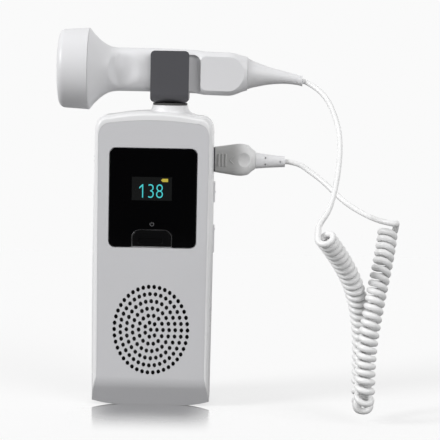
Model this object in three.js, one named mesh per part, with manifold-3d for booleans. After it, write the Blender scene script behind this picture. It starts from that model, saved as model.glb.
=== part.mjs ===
// Pocket fetal doppler monitor with its probe, coiled lead and plug.
// Millimetres, +Z up. The case stands on its flat foot at the origin, its front faces -Y,
// and the probe lies along X in the holder clip on top of the case.

import * as THREE from 'three';
import { mergeGeometries, mergeVertices } from 'three/addons/utils/BufferGeometryUtils.js';
import Module from 'manifold-3d';

const wasm = await Module();
wasm.setup();

// Fits and walls
const gap = 0.3;              // clearance between neighbouring pieces
const overrun = 2;            // how far a cutter runs past what it cuts
const weld = 0.001;           // vertices closer than this are one
const wall = 2;               // case wall

// Case outline, seen from the front
const bodyHalfWidth = 26.8;
const bodyBow = 0.4;          // how far the sides swell at mid height
const bodyHeight = 134.4;     // crown of the top
const shoulderDrop = 2;       // the shoulders lie this far under the crown
const shoulderRadius = 7.2;
const footHalfWidth = 13;     // half of the flat that the case stands on
const footRise = 2.1;         // the lower corners lie this far above the foot

// Case, seen from the side
const frontDepth = 15.2;
const rearDepth = 14.8;
const seamDepth = 6;          // the seam lies this far in front of the middle
const frontBevelWidth = 2;
const frontBevelDepth = 6;
const rearBevelWidth = 4;
const rearBevelDepth = 5;
const toeHeight = 14;         // below this the front sweeps back
const toeRadius = 12;
const toeAngle = 28 * Math.PI / 180;

// Neck on top of the case
const neckX = 6.6;
const neckTop = 137;
const neckRadiusX = 8.1;
const neckRadiusY = 10.2;
const neckFlare = 3.3;        // how far the foot of the neck spreads
const neckFlareHeight = 3.8;
const neckRoot = 3;           // how far the neck is sunk in the case top

// Front panel, its window and its speaker grille
const panelHalfWidth = 24.85;
const panelTaper = 0.55;      // the panel narrows by this from top to toe
const panelSweepWidth = 1.3;  // the panel's edge bends through this far outside its toe width
const panelSweepHeight = 8;
const panelSweepEnd = 1.5;    // where the panel reaches the full width
const panelTop = 130.4;
const panelTopDrop = 1.2;     // sag of the panel's upper corners
const panelCornerRadius = 6.6;
const panelThickness = 1.2;
const windowHalfWidth = 19.6;
const windowBottom = 73.2;
const windowTop = 117.8;
const windowRadius = 2.7;
const lensSetback = 0.1;
const grilleZ = 35.6;
const grilleRings = 6;
const grilleHolesInRing = 7;  // each ring has this many more than the one inside it
const grillePitchX = 2.73;
const grillePitchZ = 3.19;
const grilleMargin = 0.25;    // from the outer holes to the edge of the opening behind them
const grilleHoleWidth = 1.54;
const grilleHoleHeight = 1.8;
const panelBackWall = 1.4;    // wall of the front shell behind the panel

// Display
const displayX = -0.5;
const displayZ = 99.7;
const displayWidth = 18.2;
const displayHeight = 10.6;
const displayBorder = 0.6;

// Power button and its switch
const buttonX = -0.25;
const buttonWidth = 18.1;
const buttonHeight = 7.4;
const buttonCornerRadius = 3.4;
const buttonSetback = 0.25;
const buttonFlange = 1;
const buttonFlangeThickness = 0.6;
const buttonTravel = 0.6;
const grooveWidth = 11.2;
const grooveHeight = 1.9;
const grooveDepth = 0.6;
const grooveX = -1.3;
const grooveRise = 1.5;       // groove centre above the button's lower edge
const switchWidth = 6;
const switchPlay = 0.1;       // what is left of the gap when a key is pressed home

// Main board and its posts
const boardHalfWidth = 21.5;
const boardBottom = 60.5;
const boardTop = 117;
const boardThickness = 1.6;
const boardFront = -8.6;
const postRadius = 1.9;
const postX = 17;
const postInset = 3.5;

// Speaker behind the grille
const speakerRimX = 18.2;
const speakerRim = 2.2;
const speakerRimThickness = 1.4;
const speakerBackShare = 0.55;
const speakerBasketDepth = 3.6;
const speakerSheet = 0.9;
const speakerConeSheet = 0.5;
const magnetRadius = 9;

// Batteries, their bay and its door
const cellRadius = 7.25;
const cellLength = 49;
const cellNubRadius = 2.7;
const cellNubHeight = 1.3;
const cellX = 7.6;
const bayBottom = 13.4;
const bayTop = 68.6;
const bayHalfWidth = 15.9;
const bayWall = 1.2;
const bayFloorBack = -2.4;    // where the front wall of the bay ends
const bayFloorThickness = 1;
const contactThickness = 0.4;
const contactHeight = 10;
const springRadius = 3.2;
const springTipShare = 0.6;
const springLength = 2.3;
const doorLedge = 1.1;        // width of the ledge that the door rests on
const doorThickness = 2;

// Screws that hold the two shells together
const caseScrewX = 21.2;
const caseScrewLow = 12.2;
const caseScrewHigh = 121.4;
const caseScrewBoss = 3;
const caseScrewShank = 1.1;
const caseScrewHead = 2.1;
const caseScrewHeadHeight = 1.6;
const caseScrewSunk = 3.2;    // depth of the head under the back of the case
const caseScrewReach = 5;     // thread length in the front shell

// Side keys
const keyProud = 0.75;
const modeKeyZ = 97.7;
const modeKeyHeight = 9.4;
const keyDepth = 5;
const modeKeyFlange = 1;
const modeKeyFlangeThickness = 0.5;
const modeKeyTravel = 0.6;
const rockerZ = 103;
const rockerHeight = 30.5;
const rockerProud = 0.5;
const rockerSwing = 3 * Math.PI / 180;
const rockerSwitchOffset = 9;
const sideSwitchDepth = 3.4;  // of a switch body, into the case
const sideSwitchRear = 1.5;

// Headphone jack and its hinged cover
const coverZ = 76.2;
const coverHeight = 12.7;
const coverThickness = 1.6;
const coverProud = 0.6;
const jackZ = 77.5;
const jackHeight = 6.4;
const jackLength = 7.4;
const jackBore = 1.8;
const jackBoreDepth = 6;
const jackRear = 2.2;
const jackHole = 2.5;

// Probe socket in the right side, and the plug in it
const plugZ = 112.6;
const socketLength = 10;
const socketHalfDepth = 4.6;
const socketHalfHeight = 5.4;
const socketCavityDepth = 3.2;
const socketCavityHeight = 3.6;
const socketBackWall = 1.4;
const socketProud = 0.25;
const insertLength = 8.2;
const plugLength = 18.5;
const plugNoseHalfHeight = 5.7;
const plugWaistHalfHeight = 7.3;
const plugTailHalfHeight = 3.95;
const plugNoseHalfDepth = 4.3;
const plugWaistHalfDepth = 4.8;
const plugTailHalfDepth = 3.5;
const plugBootLength = 13.1;
const plugBootHalf = 3.7;
const plugBootEndHalf = 2.3;

// Probe, lying along X
const probeZ = 152.8;
const headFace = -44;
const headRear = -30.2;
const headRadius = 18.5;
const headTaper = 0.6;        // how much slimmer the head is at its face
const headEdge = 3.2;
const headSheet = 1.8;
const handleSheet = 2;
const handleStart = -29.9;
const handleEnd = 41.5;
const handleNeck = -19.4;     // where the cone runs into the grip
const handleHalfHeight = 9.85;
const handleHalfDepth = 8.9;
const saddleStart = -8;
const saddleEnd = 19.6;
const saddleHalfDepth = 7.2;
const saddleRamp = 1.6;
const handleTaper = 33;       // where the grip starts to narrow
const handleEndHalf = 7.6;
const handleDrop = 0.9;       // how far the grip's end hangs below its axis
const handleCordHole = 1.8;
const probeBootLength = 24.7;
const probeBootSag = 3.85;
const probeBootHalf = 7.1;
const probeBootEndHalf = 2.25;
const crystalCount = 6;
const crystalSpacing = 1.4;
const crystalMargin = 0.9;    // backing left outside the ring of crystals
const crystalThickness = 1;
const backingThickness = 3;
const probeBoardStart = -16;
const probeBoardEnd = 28;
const probeBoardHalfHeight = 6.6;
const probeBoardThickness = 1.2;

// Holder clip on the neck
const clipX = 6.45;
const clipWidth = 17.3;
const clipBottom = 138.3;
const clipTop = 161.6;
const clipWebTop = 142.5;
const clipHalfGap = 7.5;
const clipArm = 2.2;
const clipTopRadius = 1.4;
const clipFootRadius = 2.6;
const clipStemRadius = 3;
const clipStemBottom = 134;
const clipScrewShank = 1.1;
const clipScrewHead = 2.4;
const clipScrewHeadHeight = 1.5;
const clipScrewReach = 3.4;
const pinholeWall = 1.2;      // neck material left under the stem

// Probe lead, curly cord and plug lead: one cord of one diameter
const cordRadius = 1.4;
const curlRadius = 3.2;       // from the axis of the curls to the middle of the cord
const curlPitch = 3.34;
const bendRadius = 10;        // where the curly cord turns back up
const bendReach = 3;          // half of the stretch over which a bend is measured
const curlSteps = 8;
const curlSides = 5;
const leadSides = 8;
const leadStep = 3.4;

// Routes chosen by hand: axis of the two legs of the curly cord, and the two straight leads
const rightLegRoute = [
  [104.6, -31.6, 85.2], [103.6, -35.2, 78.6], [101.8, -40, 69.9], [99.2, -44.3, 57.5],
  [96.9, -47.3, 45], [95.6, -48.3, 35.5], [95, -48.5, 26], [95, -48.5, 18],
];
const leftLegRoute = [
  [95, -28.5, 18], [95, -28.7, 26], [94.2, -31.4, 40.2], [91.9, -36.3, 53], [88.4, -42.2, 63.4],
  [82.6, -50.4, 73.9], [75.3, -60.9, 84.2],
];
const plugLeadRoute = [
  [66.3, -1, 110.8], [70.5, -3, 108.2], [76.5, -7.2, 104], [81.3, -11.4, 99.8], [86, -16.4, 95.8],
  [90.6, -22.5, 93], [95.5, -29.5, 90.8], [100, -35.2, 89.4], [104, -38.3, 88.7], [107, -38.2, 88.2],
];
const probeLeadRoute = [
  [74.4, -4, 144.6], [78.6, -9.4, 139.2], [81.2, -16, 132.6], [82.4, -21.4, 127.6],
  [82.8, -27, 121.6], [82.4, -32.4, 115.6], [81.4, -38.6, 108.8], [79.6, -46, 101.2], [77, -53, 94.6],
];

// Finishes
function finish(color, roughness, metalness = 0) {
  return new THREE.MeshStandardMaterial({ color, roughness, metalness });
}
const whiteCase = finish('#e9e9eb', 0.42);
const greyPanel = finish('#c3c3c6', 0.5);
const blackGloss = finish('#0b0b0d', 0.12);
const darkGrey = finish('#55555a', 0.55);
const whiteCord = finish('#e4e4e4', 0.5);
const blackRubber = finish('#151516', 0.8);
const boardGreen = finish('#1f5a3a', 0.5);
const steel = finish('#b9bcc0', 0.35, 1);
const cellWrap = finish('#3c4046', 0.4);
const ceramic = finish('#d8d2c4', 0.5);

// A closed mesh as a solid: shared vertices welded, collapsed triangles left out
function solidOf(geometry) {
  const bare = new THREE.BufferGeometry();
  bare.setAttribute('position', geometry.getAttribute('position').clone());
  if (geometry.index) bare.setIndex(geometry.index.clone());
  const welded = mergeVertices(bare, weld);
  const corners = welded.index.array;
  const kept = [];
  for (let i = 0; i < corners.length; i += 3) {
    const [a, b, c] = [corners[i], corners[i + 1], corners[i + 2]];
    if (a !== b && b !== c && c !== a) kept.push(a, b, c);
  }
  return new wasm.Manifold(new wasm.Mesh({
    numProp: 3,
    vertProperties: new Float32Array(welded.getAttribute('position').array),
    triVerts: new Uint32Array(kept),
  }));
}

// A solid back as a geometry
function geometryOf(solid) {
  const mesh = solid.getMesh();
  const geometry = new THREE.BufferGeometry();
  geometry.setAttribute('position', new THREE.BufferAttribute(new Float32Array(mesh.vertProperties), 3));
  geometry.setIndex(new THREE.BufferAttribute(new Uint32Array(mesh.triVerts), 1));
  geometry.computeVertexNormals();
  return geometry;
}

// Box between two corners
function block(low, high) {
  const [a, b] = [new THREE.Vector3(...low), new THREE.Vector3(...high)];
  const size = b.clone().sub(a);
  const middle = a.add(b).divideScalar(2);
  return solidOf(new THREE.BoxGeometry(size.x, size.y, size.z).translate(middle.x, middle.y, middle.z));
}

// Round bar along an axis, between two places on it; at holds the two other coordinates
function bar(axis, radius, from, to, at, sides = 16, scale = [1, 1]) {
  const geometry = new THREE.CylinderGeometry(radius, radius, to - from, sides);
  if (axis === 'y') {
    geometry.scale(scale[0], 1, scale[1]).translate(at[0], (from + to) / 2, at[1]);
  } else if (axis === 'x') {
    geometry.rotateZ(-Math.PI / 2).translate((from + to) / 2, at[0], at[1]);
  } else {
    geometry.rotateX(Math.PI / 2).translate(at[0], at[1], (from + to) / 2);
  }
  return solidOf(geometry);
}

// Outline drawn in X and Z, made thick along Y, with an elliptic bevel on both faces
function frontPlate(shape, front, back, bevelWidth = 0, bevelDepth = 0, segments = 5) {
  const geometry = new THREE.ExtrudeGeometry(shape, {
    depth: back - front - 2 * bevelDepth,
    bevelEnabled: bevelWidth > 0,
    bevelSize: bevelWidth,
    bevelOffset: -bevelWidth,
    bevelThickness: bevelDepth,
    bevelSegments: segments,
    curveSegments: 6,
  });
  return solidOf(geometry.translate(0, 0, bevelDepth).rotateX(Math.PI / 2).translate(0, back, 0));
}

// Outline drawn in Y and Z, made thick along X
function sidePlate(shape, from, to) {
  const geometry = new THREE.ExtrudeGeometry(shape, { depth: to - from, bevelEnabled: false });
  const turn = new THREE.Matrix4().makeBasis(
    new THREE.Vector3(0, 1, 0), new THREE.Vector3(0, 0, 1), new THREE.Vector3(1, 0, 0),
  );
  return solidOf(geometry.applyMatrix4(turn).translate(from, 0, 0));
}

// Rounded rectangle in X and Z
function roundedRectangle(left, bottom, right, top, radius) {
  const shape = new THREE.Shape();
  shape.moveTo(left + radius, bottom);
  shape.lineTo(right - radius, bottom);
  shape.absarc(right - radius, bottom + radius, radius, -Math.PI / 2, 0);
  shape.lineTo(right, top - radius);
  shape.absarc(right - radius, top - radius, radius, 0, Math.PI / 2);
  shape.lineTo(left + radius, top);
  shape.absarc(left + radius, top - radius, radius, Math.PI / 2, Math.PI);
  shape.lineTo(left, bottom + radius);
  shape.absarc(left + radius, bottom + radius, radius, Math.PI, 1.5 * Math.PI);
  return shape;
}

// Profile of radius and length turned about an axis through the origin along Z
function turned(profile, sides = 24) {
  return new THREE.LatheGeometry(profile.map(([r, h]) => new THREE.Vector2(r, h)), sides).rotateX(Math.PI / 2);
}

// Closed skin over rings of equally many points, each counterclockwise about the way they follow
// each other; caps are the triangles that close the last ring
function skinOver(rings, caps) {
  const around = rings[0].length;
  const last = (rings.length - 1) * around;
  const faces = [];
  for (let k = 0; k < last; k += around) {
    for (let i = 0; i < around; i += 1) {
      const j = (i + 1) % around;
      faces.push(k + i, k + j, k + around + i, k + j, k + around + j, k + around + i);
    }
  }
  for (const [a, b, c] of caps) faces.push(a, c, b, last + a, last + b, last + c);
  const geometry = new THREE.BufferGeometry();
  geometry.setFromPoints(rings.flat());
  geometry.setIndex(faces);
  return solidOf(geometry);
}

// Triangles that close a ring of points with a fan
function fan(around) {
  return Array.from({ length: around - 2 }, (_, i) => [0, i + 1, i + 2]);
}

// Body lofted along X through sections {x, z, halfHeight, halfDepth, power};
// power 2 is an ellipse and a higher one is nearer a rectangle
function loft(sections, sides = 24) {
  const rounded = (value, power) => Math.sign(value) * Math.abs(value) ** (2 / power);
  const rings = sections.map(({ x, z, halfHeight, halfDepth, power }) => (
    Array.from({ length: sides }, (_, i) => {
      const angle = 2 * Math.PI * i / sides;
      return new THREE.Vector3(
        x,
        halfDepth * rounded(Math.cos(angle), power),
        z + halfHeight * rounded(Math.sin(angle), power),
      );
    })));
  return skinOver(rings, fan(sides));
}

// Case outline between the foot and the crown, drawn this far inside the outer skin
function caseOutline(inset) {
  const half = bodyHalfWidth - inset;
  const shoulder = bodyHeight - shoulderDrop - inset;
  const radius = shoulderRadius - inset;
  const shape = new THREE.Shape();
  shape.moveTo(-footHalfWidth, inset);
  shape.lineTo(footHalfWidth, inset);
  shape.quadraticCurveTo((footHalfWidth + half) / 2, inset, half, inset + footRise);
  shape.quadraticCurveTo(half + 2 * bodyBow, shoulder / 2, half, shoulder - radius);
  shape.quadraticCurveTo(half, shoulder, half - radius, shoulder);
  shape.quadraticCurveTo(0, bodyHeight + shoulderDrop - inset, radius - half, shoulder);
  shape.quadraticCurveTo(-half, shoulder, -half, shoulder - radius);
  shape.quadraticCurveTo(-half - 2 * bodyBow, shoulder / 2, -half, inset + footRise);
  shape.quadraticCurveTo(-(footHalfWidth + half) / 2, inset, -footHalfWidth, inset);
  return shape;
}

// Half width of the case at a height, from the bowed side
function halfWidthAt(z) {
  const share = z / (bodyHeight - shoulderDrop - shoulderRadius);
  return bodyHalfWidth + 4 * bodyBow * share * (1 - share);
}

// Side view of everything behind the front skin, drawn this far behind it
function behindFront(inset) {
  const slope = Math.tan(toeAngle);
  const arcCentre = [toeRadius - frontDepth, toeHeight];
  const radius = toeRadius - inset;
  const arcEnd = [arcCentre[0] - radius * Math.cos(toeAngle), toeHeight - radius * Math.sin(toeAngle)];
  const top = neckTop + overrun;
  const shape = new THREE.Shape();
  shape.moveTo(rearDepth + overrun, top);
  shape.lineTo(inset - frontDepth, top);
  shape.absarc(arcCentre[0], arcCentre[1], radius, Math.PI, Math.PI + toeAngle);
  shape.lineTo(arcEnd[0] + slope * (arcEnd[1] + overrun), -overrun);
  shape.lineTo(rearDepth + overrun, -overrun);
  return sidePlate(shape, -2 * bodyHalfWidth, 2 * bodyHalfWidth);
}

// Half space in front of or behind a plane across Y, as a large box
function beside(y, towardsBack) {
  const reach = 2 * bodyHeight;
  return towardsBack ? block([-reach, y, -reach], [reach, reach, reach])
    : block([-reach, -reach, -reach], [reach, y, reach]);
}

// Flared oval neck that carries the holder clip
function neck() {
  const root = neckTop - neckFlareHeight - neckRoot;
  const spread = neckRadiusX + neckFlare;
  const profile = [[0, root], [spread, root]];
  const steps = 5;
  for (let i = 0; i <= steps; i += 1) {
    const angle = Math.PI / 2 * i / steps;
    profile.push([spread - neckFlare * Math.sin(angle), neckTop - neckFlareHeight * Math.cos(angle)]);
  }
  profile.push([0, neckTop]);
  return solidOf(turned(profile, 28).scale(1, neckRadiusY / neckRadiusX, 1).translate(neckX, 0, 0));
}

// Outer form of the whole case: the outline in rings from back to front, drawn in towards both faces
function caseBlock() {
  const steps = 4;
  const rearRings = [];
  const frontRings = [];
  for (let i = 0; i <= steps; i += 1) {
    const angle = Math.PI / 2 * i / steps;
    const [inward, deep] = [1 - Math.sin(angle), 1 - Math.cos(angle)];
    rearRings.push([rearBevelWidth * inward, rearDepth - rearBevelDepth * deep]);
    frontRings.unshift([frontBevelWidth * inward, frontBevelDepth * deep - frontDepth]);
  }
  const outlines = [...rearRings, ...frontRings].map(([inset, y]) => (
    caseOutline(inset).getPoints(5).slice(0, -1).map((p) => new THREE.Vector3(p.x, y, p.y))));
  const flat = outlines[0].map((p) => new THREE.Vector2(p.x, p.z));
  return skinOver(outlines, THREE.ShapeUtils.triangulateShape(flat, []));
}

function caseForm() {
  const form = caseBlock().intersect(behindFront(0)).add(neck());
  return { front: form.intersect(beside(-seamDepth, false)), rear: form.intersect(beside(-seamDepth, true)) };
}

// Hollow of the case
function caseHollow() {
  const front = panelThickness + gap + panelBackWall;
  const tall = frontPlate(caseOutline(wall), front - frontDepth, rearDepth - wall);
  return tall.intersect(behindFront(front));
}

// Outline of the grey panel, grown by a clearance
function panelOutline(grow) {
  const half = panelHalfWidth + grow;
  const toe = half - panelTaper;
  const top = panelTop + grow;
  const corner = top - panelTopDrop;
  const radius = panelCornerRadius + grow;
  const shape = new THREE.Shape();
  const foot = bodyHalfWidth + grow;
  const sweep = toe + panelSweepWidth;
  shape.moveTo(-foot, -overrun);
  shape.lineTo(foot, -overrun);
  shape.lineTo(foot, panelSweepEnd);
  shape.quadraticCurveTo(sweep, panelSweepHeight, toe, toeHeight);
  shape.lineTo(half, corner - radius);
  shape.quadraticCurveTo(half, corner, half - radius, corner);
  shape.quadraticCurveTo(0, top + panelTopDrop, radius - half, corner);
  shape.quadraticCurveTo(-half, corner, -half, corner - radius);
  shape.lineTo(-toe, toeHeight);
  shape.quadraticCurveTo(-sweep, panelSweepHeight, -foot, panelSweepEnd);
  return shape;
}

// Room that the panel takes from the case, as deep as this thickness
function panelRoom(thickness, grow) {
  return frontPlate(panelOutline(grow), -frontDepth - overrun, 0).subtract(behindFront(thickness));
}

// Holes of the grille: one in the middle and rings of evenly spaced ones, as one solid
function grilleHoles() {
  const places = [[0, 0]];
  for (let ring = 1; ring <= grilleRings; ring += 1) {
    const count = grilleHolesInRing * ring;
    for (let i = 0; i < count; i += 1) {
      const angle = 2 * Math.PI * i / count;
      places.push([ring * grillePitchX * Math.cos(angle), ring * grillePitchZ * Math.sin(angle)]);
    }
  }
  const depth = panelThickness + 2 * overrun;
  const holes = places.map(([x, z]) => new THREE.CylinderGeometry(1, 1, depth, 5)
    .scale(grilleHoleWidth / 2, 1, grilleHoleHeight / 2)
    .translate(x, panelThickness / 2 - frontDepth, grilleZ + z));
  return solidOf(mergeGeometries(holes));
}

const windowOutline = (grow) => roundedRectangle(
  -windowHalfWidth - grow, windowBottom - grow, windowHalfWidth + grow, windowTop + grow, windowRadius + grow,
);

// Outline of the power button, grown by a clearance; its lower corners are square
function buttonOutline(grow) {
  const bottom = windowBottom + gap;
  const [left, right] = [buttonX - buttonWidth / 2 - grow, buttonX + buttonWidth / 2 + grow];
  const top = bottom + buttonHeight + grow;
  const radius = buttonCornerRadius + grow;
  const shape = new THREE.Shape();
  shape.moveTo(left, bottom - grow);
  shape.lineTo(right, bottom - grow);
  shape.lineTo(right, top - radius);
  shape.absarc(right - radius, top - radius, radius, 0, Math.PI / 2);
  shape.absarc(left + radius, top - radius, radius, Math.PI / 2, Math.PI);
  return shape;
}

const shellFace = panelThickness + gap - frontDepth;      // front of the wall behind the panel
const shellInside = shellFace + panelBackWall;            // back of that wall
const speakerScale = grillePitchZ / grillePitchX;         // the grille and speaker are this much taller than wide
const speakerFront = shellInside + gap;
const shellOpening = grilleRings * grillePitchX + grilleHoleWidth / 2 + grilleMargin;
const magnetFront = speakerFront + speakerRimThickness + speakerBasketDepth + gap;
const boardBack = boardFront + boardThickness;
const flangeBack = shellInside + gap + buttonFlangeThickness;

function frontPanel() {
  return caseForm().front.intersect(panelRoom(panelThickness, 0))
    .subtract(frontPlate(windowOutline(gap), -frontDepth - overrun, 0))
    .subtract(grilleHoles());
}

const caseScrewPlaces = [
  [-caseScrewX, caseScrewLow], [caseScrewX, caseScrewLow],
  [-caseScrewX, caseScrewHigh], [caseScrewX, caseScrewHigh],
];

const postPlaces = [
  [-postX, boardBottom + postInset], [postX, boardBottom + postInset],
  [-postX, boardTop - postInset], [postX, boardTop - postInset],
];

// Where the side pieces pass through the case wall, as cutters
function sideCutters() {
  const inner = bodyHalfWidth - 2 * wall;
  const outer = bodyHalfWidth + overrun;
  const half = keyDepth / 2 + gap;
  const opening = (low, high, middle, height, deep) => block(
    [low, -deep, middle - height / 2 - gap], [high, deep, middle + height / 2 + gap],
  );
  const coverFloor = halfWidthAt(coverZ) + coverProud - coverThickness - gap;
  return [
    opening(inner, outer, modeKeyZ, modeKeyHeight, half),
    opening(-outer, -inner, rockerZ, rockerHeight, half),
    opening(coverFloor, outer, coverZ, coverHeight, half),
    bar('x', jackHole, inner, outer, [0, jackZ]),
    opening(inner, outer, plugZ, 2 * socketHalfHeight, socketHalfDepth + gap),
  ];
}

function frontShell() {
  let shell = caseForm().front.subtract(caseHollow())
    .subtract(panelRoom(panelThickness + gap, gap));
  for (const [x, z] of postPlaces) {
    shell = shell.add(bar('y', postRadius, shellInside - panelBackWall / 2, boardFront - gap, [x, z], 10));
  }
  for (const [x, z] of caseScrewPlaces) {
    shell = shell.add(bar('y', caseScrewBoss, shellInside - panelBackWall / 2, -seamDepth, [x, z], 12)
      .intersect(behindFront(panelThickness + gap)));
    shell = shell.subtract(bar('y', caseScrewShank + gap, -seamDepth - caseScrewReach - gap, 0, [x, z], 10));
  }
  const displayHole = displayBorder + gap;
  shell = shell.subtract(block(
    [displayX - displayWidth / 2 - displayHole, shellFace - overrun, displayZ - displayHeight / 2 - displayHole],
    [displayX + displayWidth / 2 + displayHole, 0, displayZ + displayHeight / 2 + displayHole],
  ));
  shell = shell.subtract(frontPlate(buttonOutline(gap), shellFace - overrun, shellInside + overrun));
  shell = shell.subtract(bar('y', shellOpening, shellFace - overrun, shellInside + overrun,
    [0, grilleZ], 28, [1, speakerScale]));
  return shell.intersect(beside(-seamDepth - gap / 2, false));
}

const doorHalfWidth = bayHalfWidth + doorLedge;
const doorBottom = bayBottom - doorLedge;
const doorTop = bayTop + doorLedge;
const doorInside = rearDepth - doorThickness;

// Tube with four walls round the batteries, open at the back, with the ledge of its door
function batteryBay() {
  const outer = block(
    [-bayHalfWidth - bayWall, bayFloorBack - bayFloorThickness, bayBottom - bayWall],
    [bayHalfWidth + bayWall, rearDepth - wall, bayTop + bayWall],
  );
  const inner = block([-bayHalfWidth, bayFloorBack, bayBottom], [bayHalfWidth, rearDepth + overrun, bayTop]);
  const side = doorHalfWidth + gap + doorLedge;
  const ledge = block(
    [-side, doorInside - gap - bayWall, doorBottom - gap - doorLedge],
    [side, rearDepth - wall / 2, doorTop + gap + doorLedge],
  );
  return { outer: outer.add(ledge), inner };
}

function rearShell() {
  const bay = batteryBay();
  let shell = caseForm().rear.subtract(caseHollow()).add(bay.outer);
  const seat = rearDepth - caseScrewSunk;
  for (const [x, z] of caseScrewPlaces) {
    shell = shell.add(bar('y', caseScrewBoss, -seamDepth, rearDepth - wall / 2, [x, z], 12));
    shell = shell.subtract(bar('y', caseScrewShank + gap, -seamDepth - overrun, seat, [x, z], 10));
    shell = shell.subtract(bar('y', caseScrewHead + gap, seat - caseScrewHeadHeight - gap, rearDepth + overrun,
      [x, z], 12));
  }
  shell = shell.subtract(bay.inner);
  shell = shell.subtract(block(
    [-doorHalfWidth - gap, doorInside - gap, doorBottom - gap],
    [doorHalfWidth + gap, rearDepth + overrun, doorTop + gap],
  ));
  for (const cutter of sideCutters()) shell = shell.subtract(cutter);
  const stem = clipStemRadius + gap;
  shell = shell.subtract(bar('z', stem, clipStemBottom - gap, neckTop + overrun, [neckX, 0], 16));
  shell = shell.subtract(bar('z', clipScrewShank + gap, neckTop / 2, neckTop, [neckX, 0], 10));
  const ceiling = clipStemBottom - gap - pinholeWall;
  shell = shell.subtract(bar('z', clipScrewHead + gap, ceiling - clipScrewHeadHeight - overrun, ceiling,
    [neckX, 0], 12));
  return shell.intersect(beside(gap / 2 - seamDepth, true));
}

function windowLens() {
  const back = shellFace - gap;
  return frontPlate(windowOutline(0), lensSetback - frontDepth, back)
    .subtract(frontPlate(buttonOutline(gap), -frontDepth - overrun, 0))
    .subtract(block(
      [buttonX - buttonWidth / 2 - gap, -frontDepth - overrun, windowBottom - overrun],
      [buttonX + buttonWidth / 2 + gap, 0, windowBottom + 2 * gap],
    ));
}

function displayModule() {
  return block(
    [displayX - displayWidth / 2 - displayBorder, shellFace, displayZ - displayHeight / 2 - displayBorder],
    [displayX + displayWidth / 2 + displayBorder, boardFront - gap, displayZ + displayHeight / 2 + displayBorder],
  );
}

function powerButton() {
  const bottom = windowBottom + gap;
  const face = frontPlate(buttonOutline(0), buttonSetback - frontDepth, flangeBack);
  const flange = block(
    [buttonX - buttonWidth / 2 - buttonFlange, shellInside + gap, bottom - buttonFlange],
    [buttonX + buttonWidth / 2 + buttonFlange, flangeBack, bottom + buttonHeight + buttonFlange],
  );
  const grooveBottom = bottom + grooveRise;
  const groove = roundedRectangle(
    grooveX - grooveWidth / 2, grooveBottom, grooveX + grooveWidth / 2, grooveBottom + grooveHeight,
    grooveHeight / 2,
  );
  return face.add(flange)
    .subtract(frontPlate(groove, -frontDepth - overrun, buttonSetback - frontDepth + grooveDepth));
}

function powerSwitch() {
  const middle = windowBottom + gap + buttonHeight / 2;
  const half = switchWidth / 2;
  return block(
    [buttonX - half, flangeBack + buttonTravel + switchPlay, middle - half],
    [buttonX + half, boardFront - gap, middle + half],
  );
}

function mainBoard() {
  return block([-boardHalfWidth, boardFront, boardBottom], [boardHalfWidth, boardBack, boardTop]);
}

// The speaker parts are turned about Z, then laid along Y and stretched to the grille's height
function speakerPart(profile, front) {
  return solidOf(turned(profile, 28).rotateX(-Math.PI / 2).scale(1, 1, speakerScale).translate(0, front, grilleZ));
}

const speakerBasketRadius = speakerRimX - speakerRim;

function speakerFrame() {
  const back = speakerRimX * speakerBackShare;
  const depth = speakerRimThickness + speakerBasketDepth;
  return speakerPart([
    [0, depth - speakerSheet], [back - speakerSheet, depth - speakerSheet],
    [speakerBasketRadius, speakerRimThickness], [speakerBasketRadius, 0], [speakerRimX, 0],
    [speakerRimX, speakerRimThickness], [speakerBasketRadius + speakerSheet, speakerRimThickness],
    [back, depth], [0, depth],
  ], speakerFront);
}

function speakerCone() {
  const rim = speakerBasketRadius - gap;
  const centre = speakerBasketDepth / 2;
  const waist = rim * speakerBackShare / 2;
  return speakerPart([
    [0, 0], [waist, centre], [rim, 0], [rim, speakerConeSheet],
    [waist, centre + speakerConeSheet], [0, speakerConeSheet],
  ], speakerFront + gap);
}

function speakerMagnet() {
  const back = bayFloorBack - bayFloorThickness - gap;
  return bar('y', magnetRadius, magnetFront, back, [0, grilleZ], 20);
}

const cellY = bayFloorBack + gap + cellRadius;

// A battery standing on its flat end, or turned over to stand on its nub
function battery(x, end, upright) {
  const profile = [
    [0, 0], [cellRadius, 0], [cellRadius, cellLength], [cellNubRadius, cellLength],
    [cellNubRadius, cellLength + cellNubHeight], [0, cellLength + cellNubHeight],
  ];
  const cell = turned(profile, 16);
  if (!upright) cell.rotateX(Math.PI);
  return solidOf(cell.translate(x, cellY, end));
}

const lowerContact = bayBottom + gap + contactThickness;
const upperContact = bayTop - gap - contactThickness;

function contactPlate(low) {
  return block([-bayHalfWidth + gap, cellY - contactHeight / 2, low],
    [bayHalfWidth - gap, cellY + contactHeight / 2, low + contactThickness]);
}

// Flat end spring of a battery, wide at its plate
function batterySpring(x, plate, direction) {
  const profile = [[0, 0], [springRadius, 0], [springRadius * springTipShare, springLength], [0, springLength]];
  const spring = turned(profile, 12);
  if (direction < 0) spring.rotateX(Math.PI);
  return solidOf(spring.translate(x, cellY, plate + direction * gap));
}

function batteryDoor() {
  return block([-doorHalfWidth, doorInside, doorBottom], [doorHalfWidth, rearDepth, doorTop]);
}

function caseScrew([x, z]) {
  const headBack = rearDepth - caseScrewSunk;
  const head = bar('y', caseScrewHead, headBack - caseScrewHeadHeight, headBack, [x, z], 12);
  const shank = bar('y', caseScrewShank, -seamDepth - caseScrewReach, headBack - caseScrewHeadHeight / 2,
    [x, z], 10);
  return head.add(shank);
}

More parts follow.
